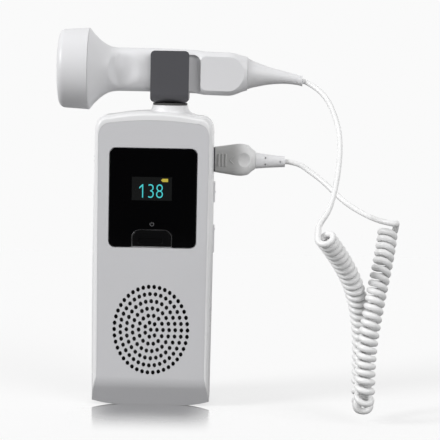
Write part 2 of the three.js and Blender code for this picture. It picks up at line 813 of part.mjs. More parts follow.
function modeKey() {
  const half = keyDepth / 2;
  const skin = halfWidthAt(modeKeyZ);
  const inside = skin - wall - gap;
  const key = block([inside - modeKeyFlangeThickness, -half, modeKeyZ - modeKeyHeight / 2],
    [skin + keyProud, half, modeKeyZ + modeKeyHeight / 2]);
  const flange = block(
    [inside - modeKeyFlangeThickness, -half - modeKeyFlange, modeKeyZ - modeKeyHeight / 2 - modeKeyFlange],
    [inside, half + modeKeyFlange, modeKeyZ + modeKeyHeight / 2 + modeKeyFlange],
  );
  return key.add(flange);
}

// Right-angle switch on the back of the board; face is where its plunger ends
function sideSwitch(face, z) {
  const inner = face - Math.sign(face) * sideSwitchDepth;
  return block([Math.min(face, inner), boardBack + gap, z - switchWidth / 2],
    [Math.max(face, inner), sideSwitchRear, z + switchWidth / 2]);
}

function modeSwitch() {
  const face = halfWidthAt(modeKeyZ) - wall - gap - modeKeyFlangeThickness - modeKeyTravel - switchPlay;
  return sideSwitch(face, modeKeyZ);
}

const rockerInside = halfWidthAt(rockerZ) - wall;

function volumeRocker() {
  const half = keyDepth / 2;
  return block([-halfWidthAt(rockerZ) - rockerProud, -half, rockerZ - rockerHeight / 2],
    [-rockerInside, half, rockerZ + rockerHeight / 2]);
}

function volumeSwitch(side) {
  const sink = Math.sin(rockerSwing) * rockerHeight / 2;
  return sideSwitch(-(rockerInside - sink - gap), rockerZ + side * rockerSwitchOffset);
}

function portCover() {
  const skin = halfWidthAt(coverZ) + coverProud;
  return block([skin - coverThickness, -keyDepth / 2, coverZ - coverHeight / 2],
    [skin, keyDepth / 2, coverZ + coverHeight / 2]);
}

function headphoneJack() {
  const face = halfWidthAt(jackZ) - wall - gap;
  const body = block([face - jackLength, boardBack + gap, jackZ - jackHeight / 2],
    [face, jackRear, jackZ + jackHeight / 2]);
  return body.subtract(bar('x', jackBore, face - jackBoreDepth, face + overrun, [0, jackZ], 12));
}

const socketFace = halfWidthAt(plugZ) + socketProud;

function probeSocket() {
  const rear = socketFace - socketLength;
  const shell = block([rear, -socketHalfDepth, plugZ - socketHalfHeight],
    [socketFace, socketHalfDepth, plugZ + socketHalfHeight]);
  const foot = block([rear, boardBack + gap, plugZ - socketHalfHeight],
    [boardHalfWidth, 0, plugZ + socketHalfHeight]);
  return shell.add(foot).subtract(block(
    [rear + socketBackWall, -socketCavityDepth, plugZ - socketCavityHeight],
    [socketFace + overrun, socketCavityDepth, plugZ + socketCavityHeight],
  ));
}

const plugStart = socketFace + gap;

function plugInsert() {
  return block([plugStart - gap - insertLength, gap - socketCavityDepth, plugZ + gap - socketCavityHeight],
    [plugStart - gap, socketCavityDepth - gap, plugZ + socketCavityHeight - gap]);
}

// Places along the plug as shares of its length
const plugWaistShare = 0.7;
const plugShoulderShare = 0.9;

function plugShell() {
  const at = (share, halfHeight, halfDepth, power) => (
    { x: plugStart + share * plugLength, z: plugZ, halfHeight, halfDepth, power });
  return loft([
    at(0, plugNoseHalfHeight, plugNoseHalfDepth, 5),
    at(plugWaistShare / 2, (plugNoseHalfHeight + plugWaistHalfHeight) / 2, plugWaistHalfDepth, 4),
    at(plugWaistShare, plugWaistHalfHeight, plugWaistHalfDepth, 3.4),
    at(plugShoulderShare, (plugWaistHalfHeight + plugTailHalfHeight) / 2, plugWaistHalfDepth, 3),
    at(1, plugTailHalfHeight, plugTailHalfDepth, 2.6),
  ], 24);
}

const plugBootStart = plugStart + plugLength + gap;
const plugBootEnd = plugBootStart + plugBootLength;

function plugBoot() {
  return loft([
    { x: plugBootStart, z: plugZ, halfHeight: plugBootHalf, halfDepth: plugTailHalfDepth, power: 2.6 },
    { x: plugBootEnd, z: plugZ, halfHeight: plugBootEndHalf, halfDepth: plugBootEndHalf, power: 2 },
  ], 16);
}

// Cone behind the probe's head: places as shares of its length, and the radius at each as a share
// of the step from the grip's half height up to the head's radius
const coneShares = [
  [0, 0.977], [0.12, 0.757], [0.28, 0.549], [0.45, 0.364], [0.62, 0.214], [0.8, 0.098], [1, 0.029],
];

// Sections of the probe's grip, drawn this far inside its skin
function handleSections(inset) {
  const section = (x, halfHeight, halfDepth, power, drop = 0) => (
    { x, z: probeZ - drop, halfHeight: halfHeight - inset, halfDepth: halfDepth - inset, power });
  const sections = coneShares.map(([along, share]) => {
    const radius = handleHalfHeight + share * (headRadius - handleHalfHeight);
    return section(handleStart + along * (handleNeck - handleStart), radius, radius, 2);
  });
  sections.push(
    section(saddleStart - 2 * saddleRamp, handleHalfHeight, handleHalfDepth, 3),
    section(saddleStart - saddleRamp, handleHalfHeight, handleHalfDepth, 3.4),
    section(saddleStart, handleHalfHeight, saddleHalfDepth, 3.8),
    section(saddleEnd, handleHalfHeight, saddleHalfDepth, 3.8),
    section(saddleEnd + saddleRamp, handleHalfHeight, handleHalfDepth, 3.8),
    section(handleTaper, handleHalfHeight, handleHalfDepth, 3.6, handleDrop),
    section((handleTaper + handleEnd) / 2, (handleHalfHeight + handleEndHalf) / 2,
      (handleHalfDepth + handleEndHalf) / 2, 3, handleDrop),
    section(handleEnd, handleEndHalf, handleEndHalf, 2.2, handleDrop),
  );
  return sections;
}

function probeHandle() {
  const inner = handleSections(handleSheet);
  inner[0].x -= overrun;
  inner[inner.length - 1].x -= handleSheet;
  return loft(handleSections(0)).subtract(loft(inner))
    .subtract(bar('x', handleCordHole, handleTaper, handleEnd + overrun, [0, probeZ - handleDrop], 12));
}

const headFrontRadius = headRadius - headTaper;
const headBore = headFrontRadius - headSheet - gap;
const backingRadius = headBore - gap;
const crystalRadius = (backingRadius - crystalMargin - crystalSpacing) / 3;
const crystalRing = 2 * crystalRadius + crystalSpacing;

function probeHeadCap() {
  const ring = (x, radius) => ({ x, z: probeZ, halfHeight: radius, halfDepth: radius, power: 2 });
  const edge = [];
  const steps = 4;
  for (let i = 0; i <= steps; i += 1) {
    const angle = Math.PI / 2 * i / steps;
    const [inward, deep] = [1 - Math.cos(angle), 1 - Math.sin(angle)];
    edge.push(ring(headFace + headEdge * deep, headFrontRadius - headEdge * inward));
  }
  const outer = loft([...edge.reverse(), ring(headRear, headRadius)], 28);
  return outer.subtract(bar('x', headBore, headFace + headSheet, headRear + overrun, [0, probeZ], 28));
}

const crystalFront = headFace + headSheet + gap;
const backingFront = crystalFront + crystalThickness + gap;

function crystal(y, z) {
  return bar('x', crystalRadius, crystalFront, crystalFront + crystalThickness, [y, probeZ + z], 12);
}

function probeBacking() {
  return bar('x', backingRadius, backingFront, backingFront + backingThickness, [0, probeZ], 24);
}

function probeBoard() {
  const half = probeBoardThickness / 2;
  return block([probeBoardStart, -half, probeZ - probeBoardHalfHeight],
    [probeBoardEnd, half, probeZ + probeBoardHalfHeight]);
}

// Strain relief bent down by the cord: each section's place, drop and thickness as shares of the
// boot's length, of its sag, and of the step from its thin end to its thick one
const probeBootShares = [
  [0, 0.234, 1], [0.073, 0.286, 0.82], [0.178, 0.351, 0.64], [0.381, 0.442, 0.37], [0.632, 0.584, 0.15],
  [0.818, 0.753, 0.052], [1, 1, 0],
];

const probeBootSections = probeBootShares.map(([along, drop, thick]) => {
  const half = probeBootEndHalf + thick * (probeBootHalf - probeBootEndHalf);
  const x = handleEnd + gap + along * probeBootLength;
  return { x, z: probeZ - drop * probeBootSag, halfHeight: half, halfDepth: half, power: 2 };
});

function probeBoot() {
  return loft(probeBootSections, 16);
}

function holderClip() {
  const [left, right] = [clipX - clipWidth / 2, clipX + clipWidth / 2];
  const half = clipHalfGap + clipArm;
  const face = frontPlate(roundedRectangle(left, clipBottom, right, clipTop, clipTopRadius), -half, half);
  const side = new THREE.Shape();
  side.moveTo(clipFootRadius - half, clipBottom);
  side.lineTo(half - clipFootRadius, clipBottom);
  side.absarc(half - clipFootRadius, clipBottom + clipFootRadius, clipFootRadius, -Math.PI / 2, 0);
  side.lineTo(half, clipTop);
  side.lineTo(-half, clipTop);
  side.absarc(clipFootRadius - half, clipBottom + clipFootRadius, clipFootRadius, Math.PI, 1.5 * Math.PI);
  const channel = block([left - overrun, -clipHalfGap, clipWebTop],
    [right + overrun, clipHalfGap, clipTop + overrun]);
  return face.intersect(sidePlate(side, left, right)).subtract(channel)
    .add(bar('z', clipStemRadius, clipStemBottom, clipBottom + clipFootRadius, [neckX, 0], 16))
    .subtract(bar('z', clipScrewShank + gap, clipStemBottom - overrun, clipStemBottom + clipScrewReach + gap,
      [neckX, 0], 10));
}

function clipSeatPad() {
  const pad = new THREE.CylinderGeometry(1, 1, clipBottom - neckTop - 2 * gap, 28).rotateX(Math.PI / 2)
    .scale(neckRadiusX - gap, neckRadiusY - gap, 1).translate(neckX, 0, (neckTop + clipBottom) / 2);
  return solidOf(pad).subtract(bar('z', clipStemRadius + gap, neckTop, clipBottom, [neckX, 0], 16));
}

function clipScrew() {
  const seat = clipStemBottom - gap - pinholeWall - gap;
  return bar('z', clipScrewHead, seat - clipScrewHeadHeight, seat, [neckX, 0], 12)
    .add(bar('z', clipScrewShank, seat - clipScrewHeadHeight / 2, clipStemBottom + clipScrewReach, [neckX, 0], 10));
}

const vectors = (points) => points.map((p) => new THREE.Vector3(...p));

// Axis of the curly cord: down the right leg, round the bend, up the left leg
function curlAxis() {
  const right = vectors(rightLegRoute);
  const left = vectors(leftLegRoute);
  const [start, end] = [right[right.length - 1], left[0]];
  const centre = start.clone().add(end).divideScalar(2);
  const across = end.clone().sub(start).normalize();
  const bend = [];
  const steps = 6;
  for (let i = 1; i < steps; i += 1) {
    const angle = Math.PI * i / steps;
    bend.push(centre.clone().addScaledVector(across, -bendRadius * Math.cos(angle))
      .add(new THREE.Vector3(0, 0, -bendRadius * Math.sin(angle))));
  }
  return new THREE.CatmullRomCurve3([...right, ...bend, ...left], false, 'centripetal');
}

// How sharply the axis bends at a place along it, taken over a short stretch
function bendAt(axis, length, share) {
  const reach = bendReach / length;
  const [from, to] = [Math.max(share - reach, 0), Math.min(share + reach, 1)];
  return axis.getTangentAt(from).angleTo(axis.getTangentAt(to)) / ((to - from) * length);
}

// Middle line of the curls, straight for one diameter at each end
function curlLine() {
  const axis = curlAxis();
  const length = axis.getLength();
  const samples = 3000;
  const frames = [];
  let normal = new THREE.Vector3(1, 0, 0);
  for (let i = 0; i <= samples; i += 1) {
    const place = axis.getPointAt(i / samples);
    const tangent = axis.getTangentAt(i / samples);
    normal = normal.clone().addScaledVector(tangent, -normal.dot(tangent)).normalize();
    frames.push({ place, normal, side: new THREE.Vector3().crossVectors(tangent, normal), tangent });
  }
  const turns = [0];
  for (let i = 1; i <= samples; i += 1) {
    // the curls open on a bend, so that their inner sides keep the pitch
    const inner = 1 - (curlRadius + gap) * bendAt(axis, length, i / samples);
    turns.push(turns[i - 1] + inner * length / samples / curlPitch);
  }
  // the last curl leaves towards the first point of the probe lead, so the count is trimmed to suit
  const last = frames[samples];
  const lead = new THREE.Vector3(...probeLeadRoute[probeLeadRoute.length - 1]).sub(last.place);
  const radial = new THREE.Vector3().crossVectors(lead, last.tangent).negate().normalize();
  const wanted = -Math.atan2(radial.dot(last.side), radial.dot(last.normal)) / (2 * Math.PI);
  const count = Math.round(turns[samples] - wanted) + wanted;
  const stretch = count / turns[samples];
  const steps = Math.round(count * curlSteps);
  const points = [];
  let at = 0;
  for (let i = 0; i <= steps; i += 1) {
    const turn = count * i / steps;
    while (at < samples && turns[at + 1] * stretch < turn) at += 1;
    const { place, normal: n, side } = frames[Math.min(at + 1, samples)];
    const angle = -2 * Math.PI * turn;
    points.push(place.clone().addScaledVector(n, curlRadius * Math.cos(angle))
      .addScaledVector(side, curlRadius * Math.sin(angle)));
  }
  // a straight end follows the slope of the curve through the last three points
  const straight = (a, b, c) => a.clone()
    .addScaledVector(a.clone().multiplyScalar(3).addScaledVector(b, -4).add(c).normalize(), 2 * cordRadius);
  const [c, b, a] = points.slice(-3);
  points.unshift(straight(...points.slice(0, 3)));
  points.push(straight(a, b, c));
  return { points, count };
}

// Unbroken tube of few sides along a line of points, with flat ends
function tube(line, radius, sides) {
  let normal = new THREE.Vector3(0, 0, 1);
  const rings = line.map((place, k) => {
    const tangent = line[Math.min(k + 1, line.length - 1)].clone().sub(line[Math.max(k - 1, 0)]).normalize();
    normal = normal.clone().addScaledVector(tangent, -normal.dot(tangent)).normalize();
    const side = new THREE.Vector3().crossVectors(tangent, normal);
    return Array.from({ length: sides }, (_, i) => {
      const angle = 2 * Math.PI * i / sides;
      return place.clone().addScaledVector(normal, radius * Math.cos(angle))
        .addScaledVector(side, radius * Math.sin(angle));
    });
  });
  return skinOver(rings, fan(sides));
}

const curl = curlLine();

// Least distance between the surfaces of curls that aren't next to each other along the cord
function leastCurlGap(points) {
  const near = curlSteps / 2;
  let least = Infinity;
  const fine = [];
  for (let i = 0; i + 1 < points.length; i += 1) {
    fine.push(points[i], points[i].clone().add(points[i + 1]).divideScalar(2));
  }
  for (let i = 0; i < fine.length; i += 1) {
    for (let j = i + 2 * near; j < fine.length; j += 1) {
      least = Math.min(least, fine[i].distanceTo(fine[j]));
    }
  }
  return least - 2 * cordRadius;
}

// Round lead along its route, with square straight ends one diameter long
function lead(start, startWay, route, end, endWay) {
  const beyond = (point, way, radii) => point.clone().addScaledVector(way, radii * cordRadius);
  const path = new THREE.CatmullRomCurve3([
    start, beyond(start, startWay, 1), beyond(start, startWay, 2),
    ...vectors(route),
    beyond(end, endWay, -2), beyond(end, endWay, -1), end,
  ], false, 'centripetal');
  const corners = Array.from({ length: leadSides }, (_, i) => {
    const angle = 2 * Math.PI * i / leadSides;
    return new THREE.Vector2(cordRadius * Math.cos(angle), cordRadius * Math.sin(angle));
  });
  const steps = Math.round(path.getLength() / leadStep);
  return solidOf(new THREE.ExtrudeGeometry(new THREE.Shape(corners), {
    extrudePath: path, steps, bevelEnabled: false,
  }));
}

function plugLead() {
  const [first, second] = curl.points;
  const direction = second.clone().sub(first).normalize();
  const start = new THREE.Vector3(plugBootEnd + gap, 0, plugZ);
  const end = first.clone().addScaledVector(direction, -gap);
  return lead(start, new THREE.Vector3(1, 0, 0), plugLeadRoute, end, direction);
}

function probeLead() {
  const [before, last] = curl.points.slice(-2);
  const direction = before.clone().sub(last).normalize();
  const end = last.clone().addScaledVector(direction, -gap);
  const [rear, tip] = probeBootSections.slice(-2);
  const exit = new THREE.Vector3(tip.x - rear.x, 0, tip.z - rear.z).normalize();
  const start = new THREE.Vector3(tip.x, 0, tip.z).addScaledVector(exit, gap + cordRadius / 2);
  return lead(start, exit, probeLeadRoute, end, direction);
}

console.log(`${curl.count.toFixed(1)} curls, least gap of the curly cord to itself: `
  + `${leastCurlGap(curl.points).toFixed(2)} mm`);

const monitor = new THREE.Group();

function add(name, solid, material) {
  const mesh = new THREE.Mesh(geometryOf(solid), material);
  mesh.name = name;
  monitor.add(mesh);
}

add('front_shell', frontShell(), whiteCase);
add('rear_shell', rearShell(), whiteCase);
add('front_panel', frontPanel(), greyPanel);
add('window_lens', windowLens(), blackGloss);
add('display_module', displayModule(), blackGloss);
add('power_button', powerButton(), blackGloss);
add('power_switch', powerSwitch(), steel);
add('main_board', mainBoard(), boardGreen);
add('speaker_frame', speakerFrame(), steel);
add('speaker_cone', speakerCone(), blackRubber);
add('speaker_magnet', speakerMagnet(), steel);
add('battery_1', battery(-cellX, lowerContact + springLength + 2 * gap, true), cellWrap);
add('battery_2', battery(cellX, upperContact - springLength - 2 * gap, false), cellWrap);
add('battery_spring_1', batterySpring(-cellX, lowerContact, 1), steel);
add('battery_spring_2', batterySpring(cellX, upperContact, -1), steel);
add('battery_contact_lower', contactPlate(lowerContact - contactThickness), steel);
add('battery_contact_upper', contactPlate(upperContact), steel);
add('battery_door', batteryDoor(), whiteCase);
caseScrewPlaces.forEach((place, i) => add(`case_screw_${i + 1}`, caseScrew(place), steel));
add('mode_key', modeKey(), whiteCase);
add('mode_switch', modeSwitch(), steel);
add('volume_rocker', volumeRocker(), whiteCase);
add('volume_switch_up', volumeSwitch(1), steel);
add('volume_switch_down', volumeSwitch(-1), steel);
add('port_cover', portCover(), whiteCase);
add('headphone_jack', headphoneJack(), blackRubber);
add('probe_socket', probeSocket(), darkGrey);
add('holder_clip', holderClip(), darkGrey);
add('clip_seat_pad', clipSeatPad(), blackRubber);
add('clip_screw', clipScrew(), steel);
add('probe_head_cap', probeHeadCap(), whiteCase);
add('probe_handle', probeHandle(), whiteCase);
add('transducer_disc_0', crystal(0, 0), ceramic);
for (let i = 1; i <= crystalCount; i += 1) {
  const angle = 2 * Math.PI * i / crystalCount;
  add(`transducer_disc_${i}`, crystal(crystalRing * Math.cos(angle), crystalRing * Math.sin(angle)), ceramic);
}
add('transducer_backing', probeBacking(), blackRubber);
add('probe_board', probeBoard(), boardGreen);
add('probe_boot', probeBoot(), whiteCord);
add('probe_lead', probeLead(), whiteCord);
add('curly_cord', tube(curl.points, cordRadius, curlSides), whiteCord);
add('plug_lead', plugLead(), whiteCord);
add('plug_boot', plugBoot(), whiteCord);
add('plug_shell', plugShell(), whiteCord);
add('plug_insert', plugInsert(), darkGrey);

export default monitor;
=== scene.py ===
"""Pocket fetal doppler monitor with its ultrasound probe lying in the clip on top.

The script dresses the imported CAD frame: moulded shells, a glossy window with a lit display, keys,
battery bay, clip, probe, and one cord that hangs in a long loop of curls between the probe and its
plug. Blender's unit is the metre; +Z is up and the front faces -Y. Sizes are written in millimetres
times MM.
"""

import logging
import math
from contextlib import contextmanager
from dataclasses import dataclass, field
from enum import Enum
from typing import Callable, Iterator, Optional, Sequence

import bmesh
import bpy
from mathutils import Euler, Matrix, Vector


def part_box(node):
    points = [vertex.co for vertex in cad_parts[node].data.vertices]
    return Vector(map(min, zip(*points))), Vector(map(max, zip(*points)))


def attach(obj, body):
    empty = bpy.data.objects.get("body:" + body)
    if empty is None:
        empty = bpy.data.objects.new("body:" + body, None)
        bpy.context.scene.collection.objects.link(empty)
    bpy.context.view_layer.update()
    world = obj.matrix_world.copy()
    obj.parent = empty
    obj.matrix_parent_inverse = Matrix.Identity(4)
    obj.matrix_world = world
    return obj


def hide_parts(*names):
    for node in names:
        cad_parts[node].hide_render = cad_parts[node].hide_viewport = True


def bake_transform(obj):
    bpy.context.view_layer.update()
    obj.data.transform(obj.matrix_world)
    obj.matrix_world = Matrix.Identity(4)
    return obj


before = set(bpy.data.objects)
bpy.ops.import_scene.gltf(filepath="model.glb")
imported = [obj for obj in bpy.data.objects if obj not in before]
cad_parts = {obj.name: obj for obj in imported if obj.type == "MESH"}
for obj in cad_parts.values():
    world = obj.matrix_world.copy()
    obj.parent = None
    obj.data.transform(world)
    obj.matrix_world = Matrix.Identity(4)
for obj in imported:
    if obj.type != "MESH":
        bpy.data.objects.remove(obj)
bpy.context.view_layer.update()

MM = 0.001
GAP = 0.3 * MM                 # clearance between neighbouring pieces
OVERRUN = 2 * MM               # how far a cutter runs past what it cuts
KEY_FLANGE = 1 * MM            # rim that holds the mode key behind the case wall
ROUND = 64                     # sides of a large round form
SMALL_ROUND = 16               # sides of a small one
CLOSE = 0.01 * MM              # points of a piece closer than this become one before its edges are rounded
TUBE_CLOSE = 0.001 * MM        # the same in a thin tube
FLAT_ANGLE = 0.4               # faces that meet at a smaller angle, in degrees, become one
SAME_POINT = 1e-7              # points of an outline closer than this are one
log = logging.getLogger("monitor")
Piece = bpy.types.Object
Tree = bpy.types.NodeTree
Socket = bpy.types.NodeSocket


class Cut(Enum):
    """What a boolean does with its tool."""

    TAKE = "DIFFERENCE"
    JOIN = "UNION"
    KEEP = "INTERSECT"


class Along(Enum):
    """Axis that a round bar or a stack of rings follows."""

    X = "X"
    Y = "Y"
    Z = "Z"


def at(x: float, y: float, z: float) -> Vector:
    """A point or a size given in metres."""
    return Vector((x, y, z))


def mm(x: float, y: float, z: float) -> Vector:
    """A point or a size given in millimetres."""
    return at(x, y, z) * MM


def pick(piece: Piece) -> None:
    """Leaves only this piece selected and active."""
    bpy.ops.object.select_all(action="DESELECT")
    piece.select_set(True)
    bpy.context.view_layer.objects.active = piece


@contextmanager
def editing(piece: Piece) -> Iterator[None]:
    """Opens a piece in edit mode with all of it selected, and closes it again.

    Args:
        piece: The mesh to edit.
    """
    pick(piece)
    bpy.ops.object.mode_set(mode="EDIT")
    bpy.ops.mesh.select_mode(type="FACE")
    bpy.ops.mesh.select_all(action="SELECT")
    yield
    bpy.ops.object.mode_set(mode="OBJECT")


def loft(name: str, rings: Sequence[Sequence[Vector]]) -> Piece:
    """Lays a filled circle on the first ring and draws it out through the others.

    Args:
        name: Name of the piece.
        rings: Rings of equally many points.

    Returns:
        The closed piece.
    """
    bpy.ops.mesh.primitive_circle_add(vertices=len(rings[0]), radius=1, fill_type="NGON")
    piece = bpy.context.object
    piece.name = piece.data.name = name
    with editing(piece):
        mesh = bmesh.from_edit_mesh(piece.data)
        order = mesh.verts.layers.int.new("order")
        for i, vertex in enumerate(mesh.verts):
            vertex[order] = i
            vertex.co = rings[0][i]
        bmesh.update_edit_mesh(piece.data)
        for ring in rings[1:]:
            bpy.ops.mesh.extrude_region_move()
            mesh = bmesh.from_edit_mesh(piece.data)
            order = mesh.verts.layers.int["order"]
            for vertex in mesh.verts:
                if vertex.select:
                    vertex.co = ring[vertex[order]]
            bmesh.update_edit_mesh(piece.data)
        bpy.ops.mesh.select_all(action="SELECT")
        bpy.ops.mesh.normals_make_consistent(inside=False)
    piece.data.attributes.remove(piece.data.attributes["order"])
    return piece


def settle(name: str) -> Piece:
    """Applies the new object's place, turn and size to its mesh, and names it.

    Args:
        name: Name of the piece.

    Returns:
        The piece.
    """
    bpy.ops.object.transform_apply(location=True, rotation=True, scale=True)
    piece = bpy.context.object
    piece.name = piece.data.name = name
    return piece


def block(name: str, low: Vector, high: Vector) -> Piece:
    """Makes a box between its lowest and highest corners, as a start for cutting and bevelling."""
    bpy.ops.mesh.primitive_cube_add(size=1, location=(low + high) / 2, scale=high - low)
    return settle(name)


TURNS = {Along.X: Euler((0, math.pi / 2, 0)), Along.Y: Euler((math.pi / 2, 0, 0)), Along.Z: Euler()}


def bar(name: str, along: Along, radius: float, low: Vector, high: Vector, sides: int = 32,
        stretch: float = 1.0) -> Piece:
    """A round bar between two points on one axis.

    Args:
        name: Name of the piece.
        along: Axis that it follows.
        radius: Its radius.
        low: Middle of its first end.
        high: Middle of its other end.
        sides: How many sides it has.
        stretch: How much taller in Z than wide it is.

    Returns:
        The bar.
    """
    bpy.ops.mesh.primitive_cylinder_add(vertices=sides, radius=radius, depth=(high - low).length,
                                        rotation=TURNS[along])
    piece = bpy.context.object
    bpy.ops.object.transform_apply(location=False, rotation=True, scale=False)
    piece.scale = (1, 1, stretch)
    piece.location = (low + high) / 2
    return settle(name)


def ball(name: str, centre: Vector, radii: Vector, segments: int = 40) -> Piece:
    """An ellipsoid, as a tool that presses a dimple.

    Args:
        name: Name of the piece.
        centre: Its middle.
        radii: Its radii along the axes.
        segments: How many sides it has.

    Returns:
        The ellipsoid.
    """
    bpy.ops.mesh.primitive_uv_sphere_add(segments=segments, ring_count=segments // 2, radius=1,
                                         location=centre, scale=radii)
    return settle(name)


def twin(piece: Piece, name: str) -> Piece:
    """Copies a piece with its mesh.

    Args:
        piece: What is copied.
        name: Name of the copy.

    Returns:
        The copy.
    """
    copied = piece.copy()
    copied.data = piece.data.copy()
    copied.name = copied.data.name = name
    bpy.context.scene.collection.objects.link(copied)
    return copied


def move(piece: Piece, step: Vector) -> Piece:
    """Moves a piece in its mesh.

    Args:
        piece: The mesh.
        step: How far it moves.

    Returns:
        The piece.
    """
    with editing(piece):
        bpy.ops.transform.translate(value=step)
    return piece


def resize(piece: Piece, factors: Sequence[float], centre: Sequence[float] = (0, 0, 0)) -> None:
    """Resizes a piece in its mesh by a factor for each axis, about a centre that stays in place."""
    with editing(piece):
        bpy.ops.transform.resize(value=factors, center_override=centre)


def carve(piece: Piece, tool: Piece, cut: Cut = Cut.TAKE) -> Piece:
    """Applies a boolean and throws the tool away.

    Args:
        piece: What is cut.
        tool: What cuts it.
        cut: Whether the tool is taken away, joined on, or the common part is kept.

    Returns:
        The piece.
    """
    pick(piece)
    bpy.ops.object.modifier_add(type="BOOLEAN")
    modifier = piece.modifiers[-1]
    modifier.operation = cut.value
    modifier.solver = "EXACT"
    modifier.object = tool
    bpy.ops.object.modifier_apply(modifier=modifier.name)
    bpy.data.meshes.remove(tool.data)
    return piece


def halve(piece: Piece, place: Vector, normal: Vector) -> Piece:
    """Keeps what lies behind a plane, and closes the cut.

    Args:
        piece: What is cut.
        place: A point of the plane.
        normal: The way that the plane faces.

    Returns:
        The piece.
    """
    with editing(piece):
        bpy.ops.mesh.bisect(plane_co=place, plane_no=normal, use_fill=True, clear_outer=True)
    return piece


def join(name: str, parts: Sequence[Piece]) -> Piece:
    """Makes one object of several.

    Args:
        name: Name of the object.
        parts: What it is made of.

    Returns:
        The object.
    """
    pick(parts[0])
    for part in parts[1:]:
        part.select_set(True)
    bpy.ops.object.join()
    parts[0].name = parts[0].data.name = name
    return parts[0]


def soften(piece: Piece, width: float, segments: int = 2, angle: float = 35) -> Piece:
    """Rounds the edges of a piece that are sharper than an angle.

    Args:
        piece: The mesh.
        width: Width of the round.
        segments: Faces across it.
        angle: Least angle of an edge that is rounded, in degrees.

    Returns:
        The piece.
    """
    with editing(piece):
        bpy.ops.mesh.remove_doubles(threshold=CLOSE)
        bpy.ops.mesh.dissolve_limited(angle_limit=math.radians(FLAT_ANGLE))
    pick(piece)
    bpy.ops.object.modifier_add(type="BEVEL")
    modifier = piece.modifiers[-1]
    modifier.width = width
    modifier.segments = segments
    modifier.limit_method = "ANGLE"
    modifier.angle_limit = math.radians(angle)
    bpy.ops.object.modifier_apply(modifier=modifier.name)
    return piece


def smooth(piece: Piece, angle: float = 40, weighted: bool = True) -> Piece:
    """Shades a piece smooth up to an angle.

    Args:
        piece: The mesh.
        angle: Edges sharper than this, in degrees, stay sharp.
        weighted: Whether flat faces are also kept flat.

    Returns:
        The piece.
    """
    pick(piece)
    bpy.ops.object.shade_smooth_by_angle(angle=math.radians(angle))
    if weighted:
        bpy.ops.object.modifier_add(type="WEIGHTED_NORMAL")
        modifier = piece.modifiers[-1]
        modifier.keep_sharp = True
        bpy.ops.object.modifier_apply(modifier=modifier.name)
    return piece


def tube(name: str, points: Sequence[Vector], radius: float, sides: int = 12,
         shares: Optional[Sequence[float]] = None) -> Piece:
    """A round tube with closed ends along a line of points.

    Args:
        name: Name of the piece.
        points: Its centreline.
        radius: Its radius.
        sides: How many sides it has, a multiple of four.
        shares: For each point, how much of the radius it has; all of it where none are given.

    Returns:
        The tube, as a mesh.
    """
    data = bpy.data.curves.new(name, "CURVE")
    data.dimensions = "3D"
    data.bevel_depth = radius
    data.bevel_resolution = sides // 4 - 1
    data.use_fill_caps = True
    spline = data.splines.new("POLY")
    spline.points.add(len(points) - 1)
    for point, place, share in zip(spline.points, points, shares or [1.0] * len(points)):
        point.co = (*place, 1)
        point.radius = share
    piece = bpy.data.objects.new(name, data)
    bpy.context.scene.collection.objects.link(piece)
    pick(piece)
    bpy.ops.object.convert(target="MESH")
    with editing(piece):
        bpy.ops.mesh.remove_doubles(threshold=TUBE_CLOSE)
        bpy.ops.mesh.normals_make_consistent(inside=False)
    return piece


class Pen:
    """Draws a closed outline of lines, bends and arcs in two coordinates."""

    def __init__(self, u: float, v: float) -> None:
        """Puts the pen down at a point."""
        self.points = [(u, v)]

    def line(self, u: float, v: float) -> "Pen":
        """Draws a straight line to a point."""
        self.points.append((u, v))
        return self

    def bend(self, cu: float, cv: float, u: float, v: float, steps: int = 10) -> "Pen":
        """Draws a quadratic bend from where the pen is.

        Args:
            cu: First coordinate of the point that pulls the bend.
            cv: Its second coordinate.
            u: First coordinate of the bend's end.
            v: Its second coordinate.
            steps: How many lines the bend is drawn in.

        Returns:
            The pen.
        """
        a, b = self.points[-1]
        for i in range(1, steps + 1):
            t = i / steps
            self.points.append(((1 - t) ** 2 * a + 2 * t * (1 - t) * cu + t * t * u,
                                (1 - t) ** 2 * b + 2 * t * (1 - t) * cv + t * t * v))
        return self

    def arc(self, cu: float, cv: float, radius: float, start: float, end: float, steps: int = 8) -> "Pen":
        """Draws an arc.

        Args:
            cu: First coordinate of its centre.
            cv: Second coordinate of its centre.
            radius: Its radius.
            start: Angle at which it starts, in radians.
            end: Angle at which it ends.
            steps: How many lines it is drawn in.

        Returns:
            The pen.
        """
        for i in range(steps + 1):
            angle = start + (end - start) * i / steps
            self.points.append((cu + radius * math.cos(angle), cv + radius * math.sin(angle)))
        return self

    def outline(self) -> list[tuple[float, float]]:
        """Closes the outline.

        Returns:
            Its points, with none twice.
        """
        kept: list[tuple[float, float]] = []
        for point in self.points:
            if not kept or math.dist(point, kept[-1]) > SAME_POINT:
                kept.append(point)
        if math.dist(kept[0], kept[-1]) < SAME_POINT:
            kept.pop()
        return kept


def rounded(left: float, bottom: float, right: float, top: float, radius: float, steps: int = 8) -> Pen:
    """Outline of a rectangle with round corners.

    Args:
        left: Its left side.
        bottom: Its lower side.
        right: Its right side.
        top: Its upper side.
        radius: Radius of its corners.
        steps: How many lines a corner is drawn in.

    Returns:
        A pen that has drawn it.
    """
    pen = Pen(left + radius, bottom).line(right - radius, bottom)
    pen.arc(right - radius, bottom + radius, radius, -math.pi / 2, 0, steps)
    pen.arc(right - radius, top - radius, radius, 0, math.pi / 2, steps)
    pen.arc(left + radius, top - radius, radius, math.pi / 2, math.pi, steps)
    return pen.arc(left + radius, bottom + radius, radius, math.pi, 1.5 * math.pi, steps)


def front_plate(name: str, pen: Pen, front: float, back: float) -> Piece:
    """An outline in X and Z, made thick along Y."""
    return loft(name, [[at(u, y, v) for u, v in pen.outline()] for y in (front, back)])


